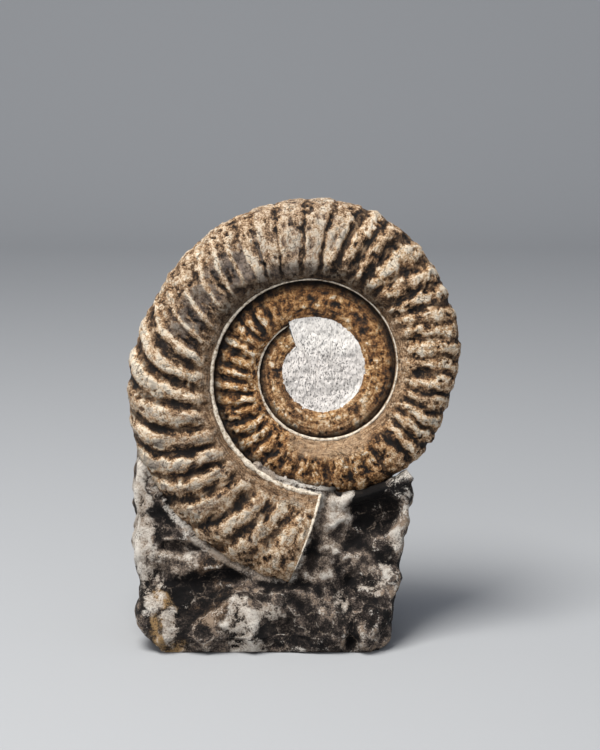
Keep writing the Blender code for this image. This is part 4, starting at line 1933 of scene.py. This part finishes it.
@dataclass(frozen=True)
class Lamp:
    """A square soft light that points at the object."""

    name: str
    place: tuple[float, float, float]
    side: float
    watts: float
    colour: Colour = (1.0, 1.0, 1.0)

    def build(self, target: Vector) -> None:
        """Builds the light.

        Args:
            target: The point that the light is turned to.
        """
        light = bpy.data.lights.new(self.name, "AREA")
        light.size = self.side
        light.energy = self.watts
        light.color = self.colour
        obj = shown(self.name, light)
        obj.location = self.place
        obj.rotation_euler = (target - obj.location).to_track_quat("-Z", "Y").to_euler()


@dataclass
class Studio:
    """The floor, the backdrop, the lights and the camera."""

    finish: StudioPaper = field(default_factory=StudioPaper)
    elevation_degrees: float = 12.0
    distance: float = 0.75
    view_width: float = 207.36 * MM
    view_aspect: float = 1.25
    target: tuple[float, float, float] = (12.1 * MM, 8.0 * MM, 92.8 * MM)
    sensor_height: float = 36.0 * MM
    # How far below the target's middle the camera looks
    drop: float = 1.6 * MM
    # The floor: how far it runs, where it bends up behind the object, and how high it goes
    run: float = 1.6
    back: float = 0.9
    bend: float = 0.35
    bend_steps: int = 16
    height: float = 1.6
    sky: Colour = (0.80, 0.86, 1.0)
    sky_strength: float = 0.34
    lamps: tuple[Lamp, ...] = (
        Lamp("key", (-0.26, -0.30, 0.98), 0.50, 15.0, (1.0, 0.98, 0.95)),
        Lamp("fill", (-0.20, -0.95, 0.40), 0.80, 2.6, (1.0, 0.98, 0.96)),
    )

    def floor(self) -> None:
        """A floor that curves up behind the object."""
        outline = [(-self.run, 0.0)]
        for angle in spread(0.0, math.pi / 2.0, self.bend_steps):
            outline.append((self.back + self.bend * math.sin(angle), self.bend * (1.0 - math.cos(angle))))
        outline.append((self.back + self.bend, self.height))
        bm = bmesh.new()
        sides = [[bm.verts.new((x, y, z)) for y, z in outline] for x in (-self.run, self.run)]
        for n in range(len(outline) - 1):
            bm.faces.new((sides[0][n], sides[1][n], sides[1][n + 1], sides[0][n + 1]))
        mesh = bpy.data.meshes.new("floor")
        bm.to_mesh(mesh)
        bm.free()
        mesh.shade_smooth()
        mesh.materials.append(self.finish.make())
        shown("floor", mesh)

    def camera(self) -> None:
        """A camera a little above the object, looking at the shell's front."""
        tilt = math.radians(self.elevation_degrees)
        backward = Vector((0.0, -math.cos(tilt), math.sin(tilt)))
        centre = Vector(self.target) - Vector((0.0, math.sin(tilt), math.cos(tilt))) * self.drop
        lens = bpy.data.cameras.new("camera")
        lens.sensor_fit = "VERTICAL"
        lens.sensor_height = self.sensor_height / MM
        view_height = self.view_width * self.view_aspect
        lens.lens = self.distance / view_height * self.sensor_height / MM
        lens.clip_start = 0.01
        obj = shown("camera", lens)
        obj.location = centre + backward * self.distance
        obj.rotation_euler = (-backward).to_track_quat("-Z", "Y").to_euler()
        bpy.context.scene.camera = obj

    def world(self) -> None:
        """Soft light from all round."""
        world = bpy.data.worlds.new("studio")
        world.use_nodes = True
        sky = world.node_tree.nodes["Background"]
        sky.inputs["Color"].default_value = (*self.sky, 1.0)
        sky.inputs["Strength"].default_value = self.sky_strength
        bpy.context.scene.world = world

    def build(self) -> None:
        """Builds the studio."""
        self.floor()
        self.camera()
        self.world()
        for lamp in self.lamps:
            lamp.build(Vector(self.target))
        bpy.context.scene.view_settings.view_transform = "Standard"
        log.info("studio: %d lamps", len(self.lamps))


# ---------------------------------------------------------------- the whole


def main() -> None:
    """Builds every piece, in order."""
    logging.basicConfig(level=logging.INFO, format="%(relativeCreated)6d ms %(name)s: %(message)s")
    shape = CoilShape()
    shell = Shell(shape).build()
    SeamRidge(shape).build()
    UmbilicusMatrix(shape).build()
    MatrixBlock(shell).build()
    Studio().build()


if __name__ == "__main__":
    main()
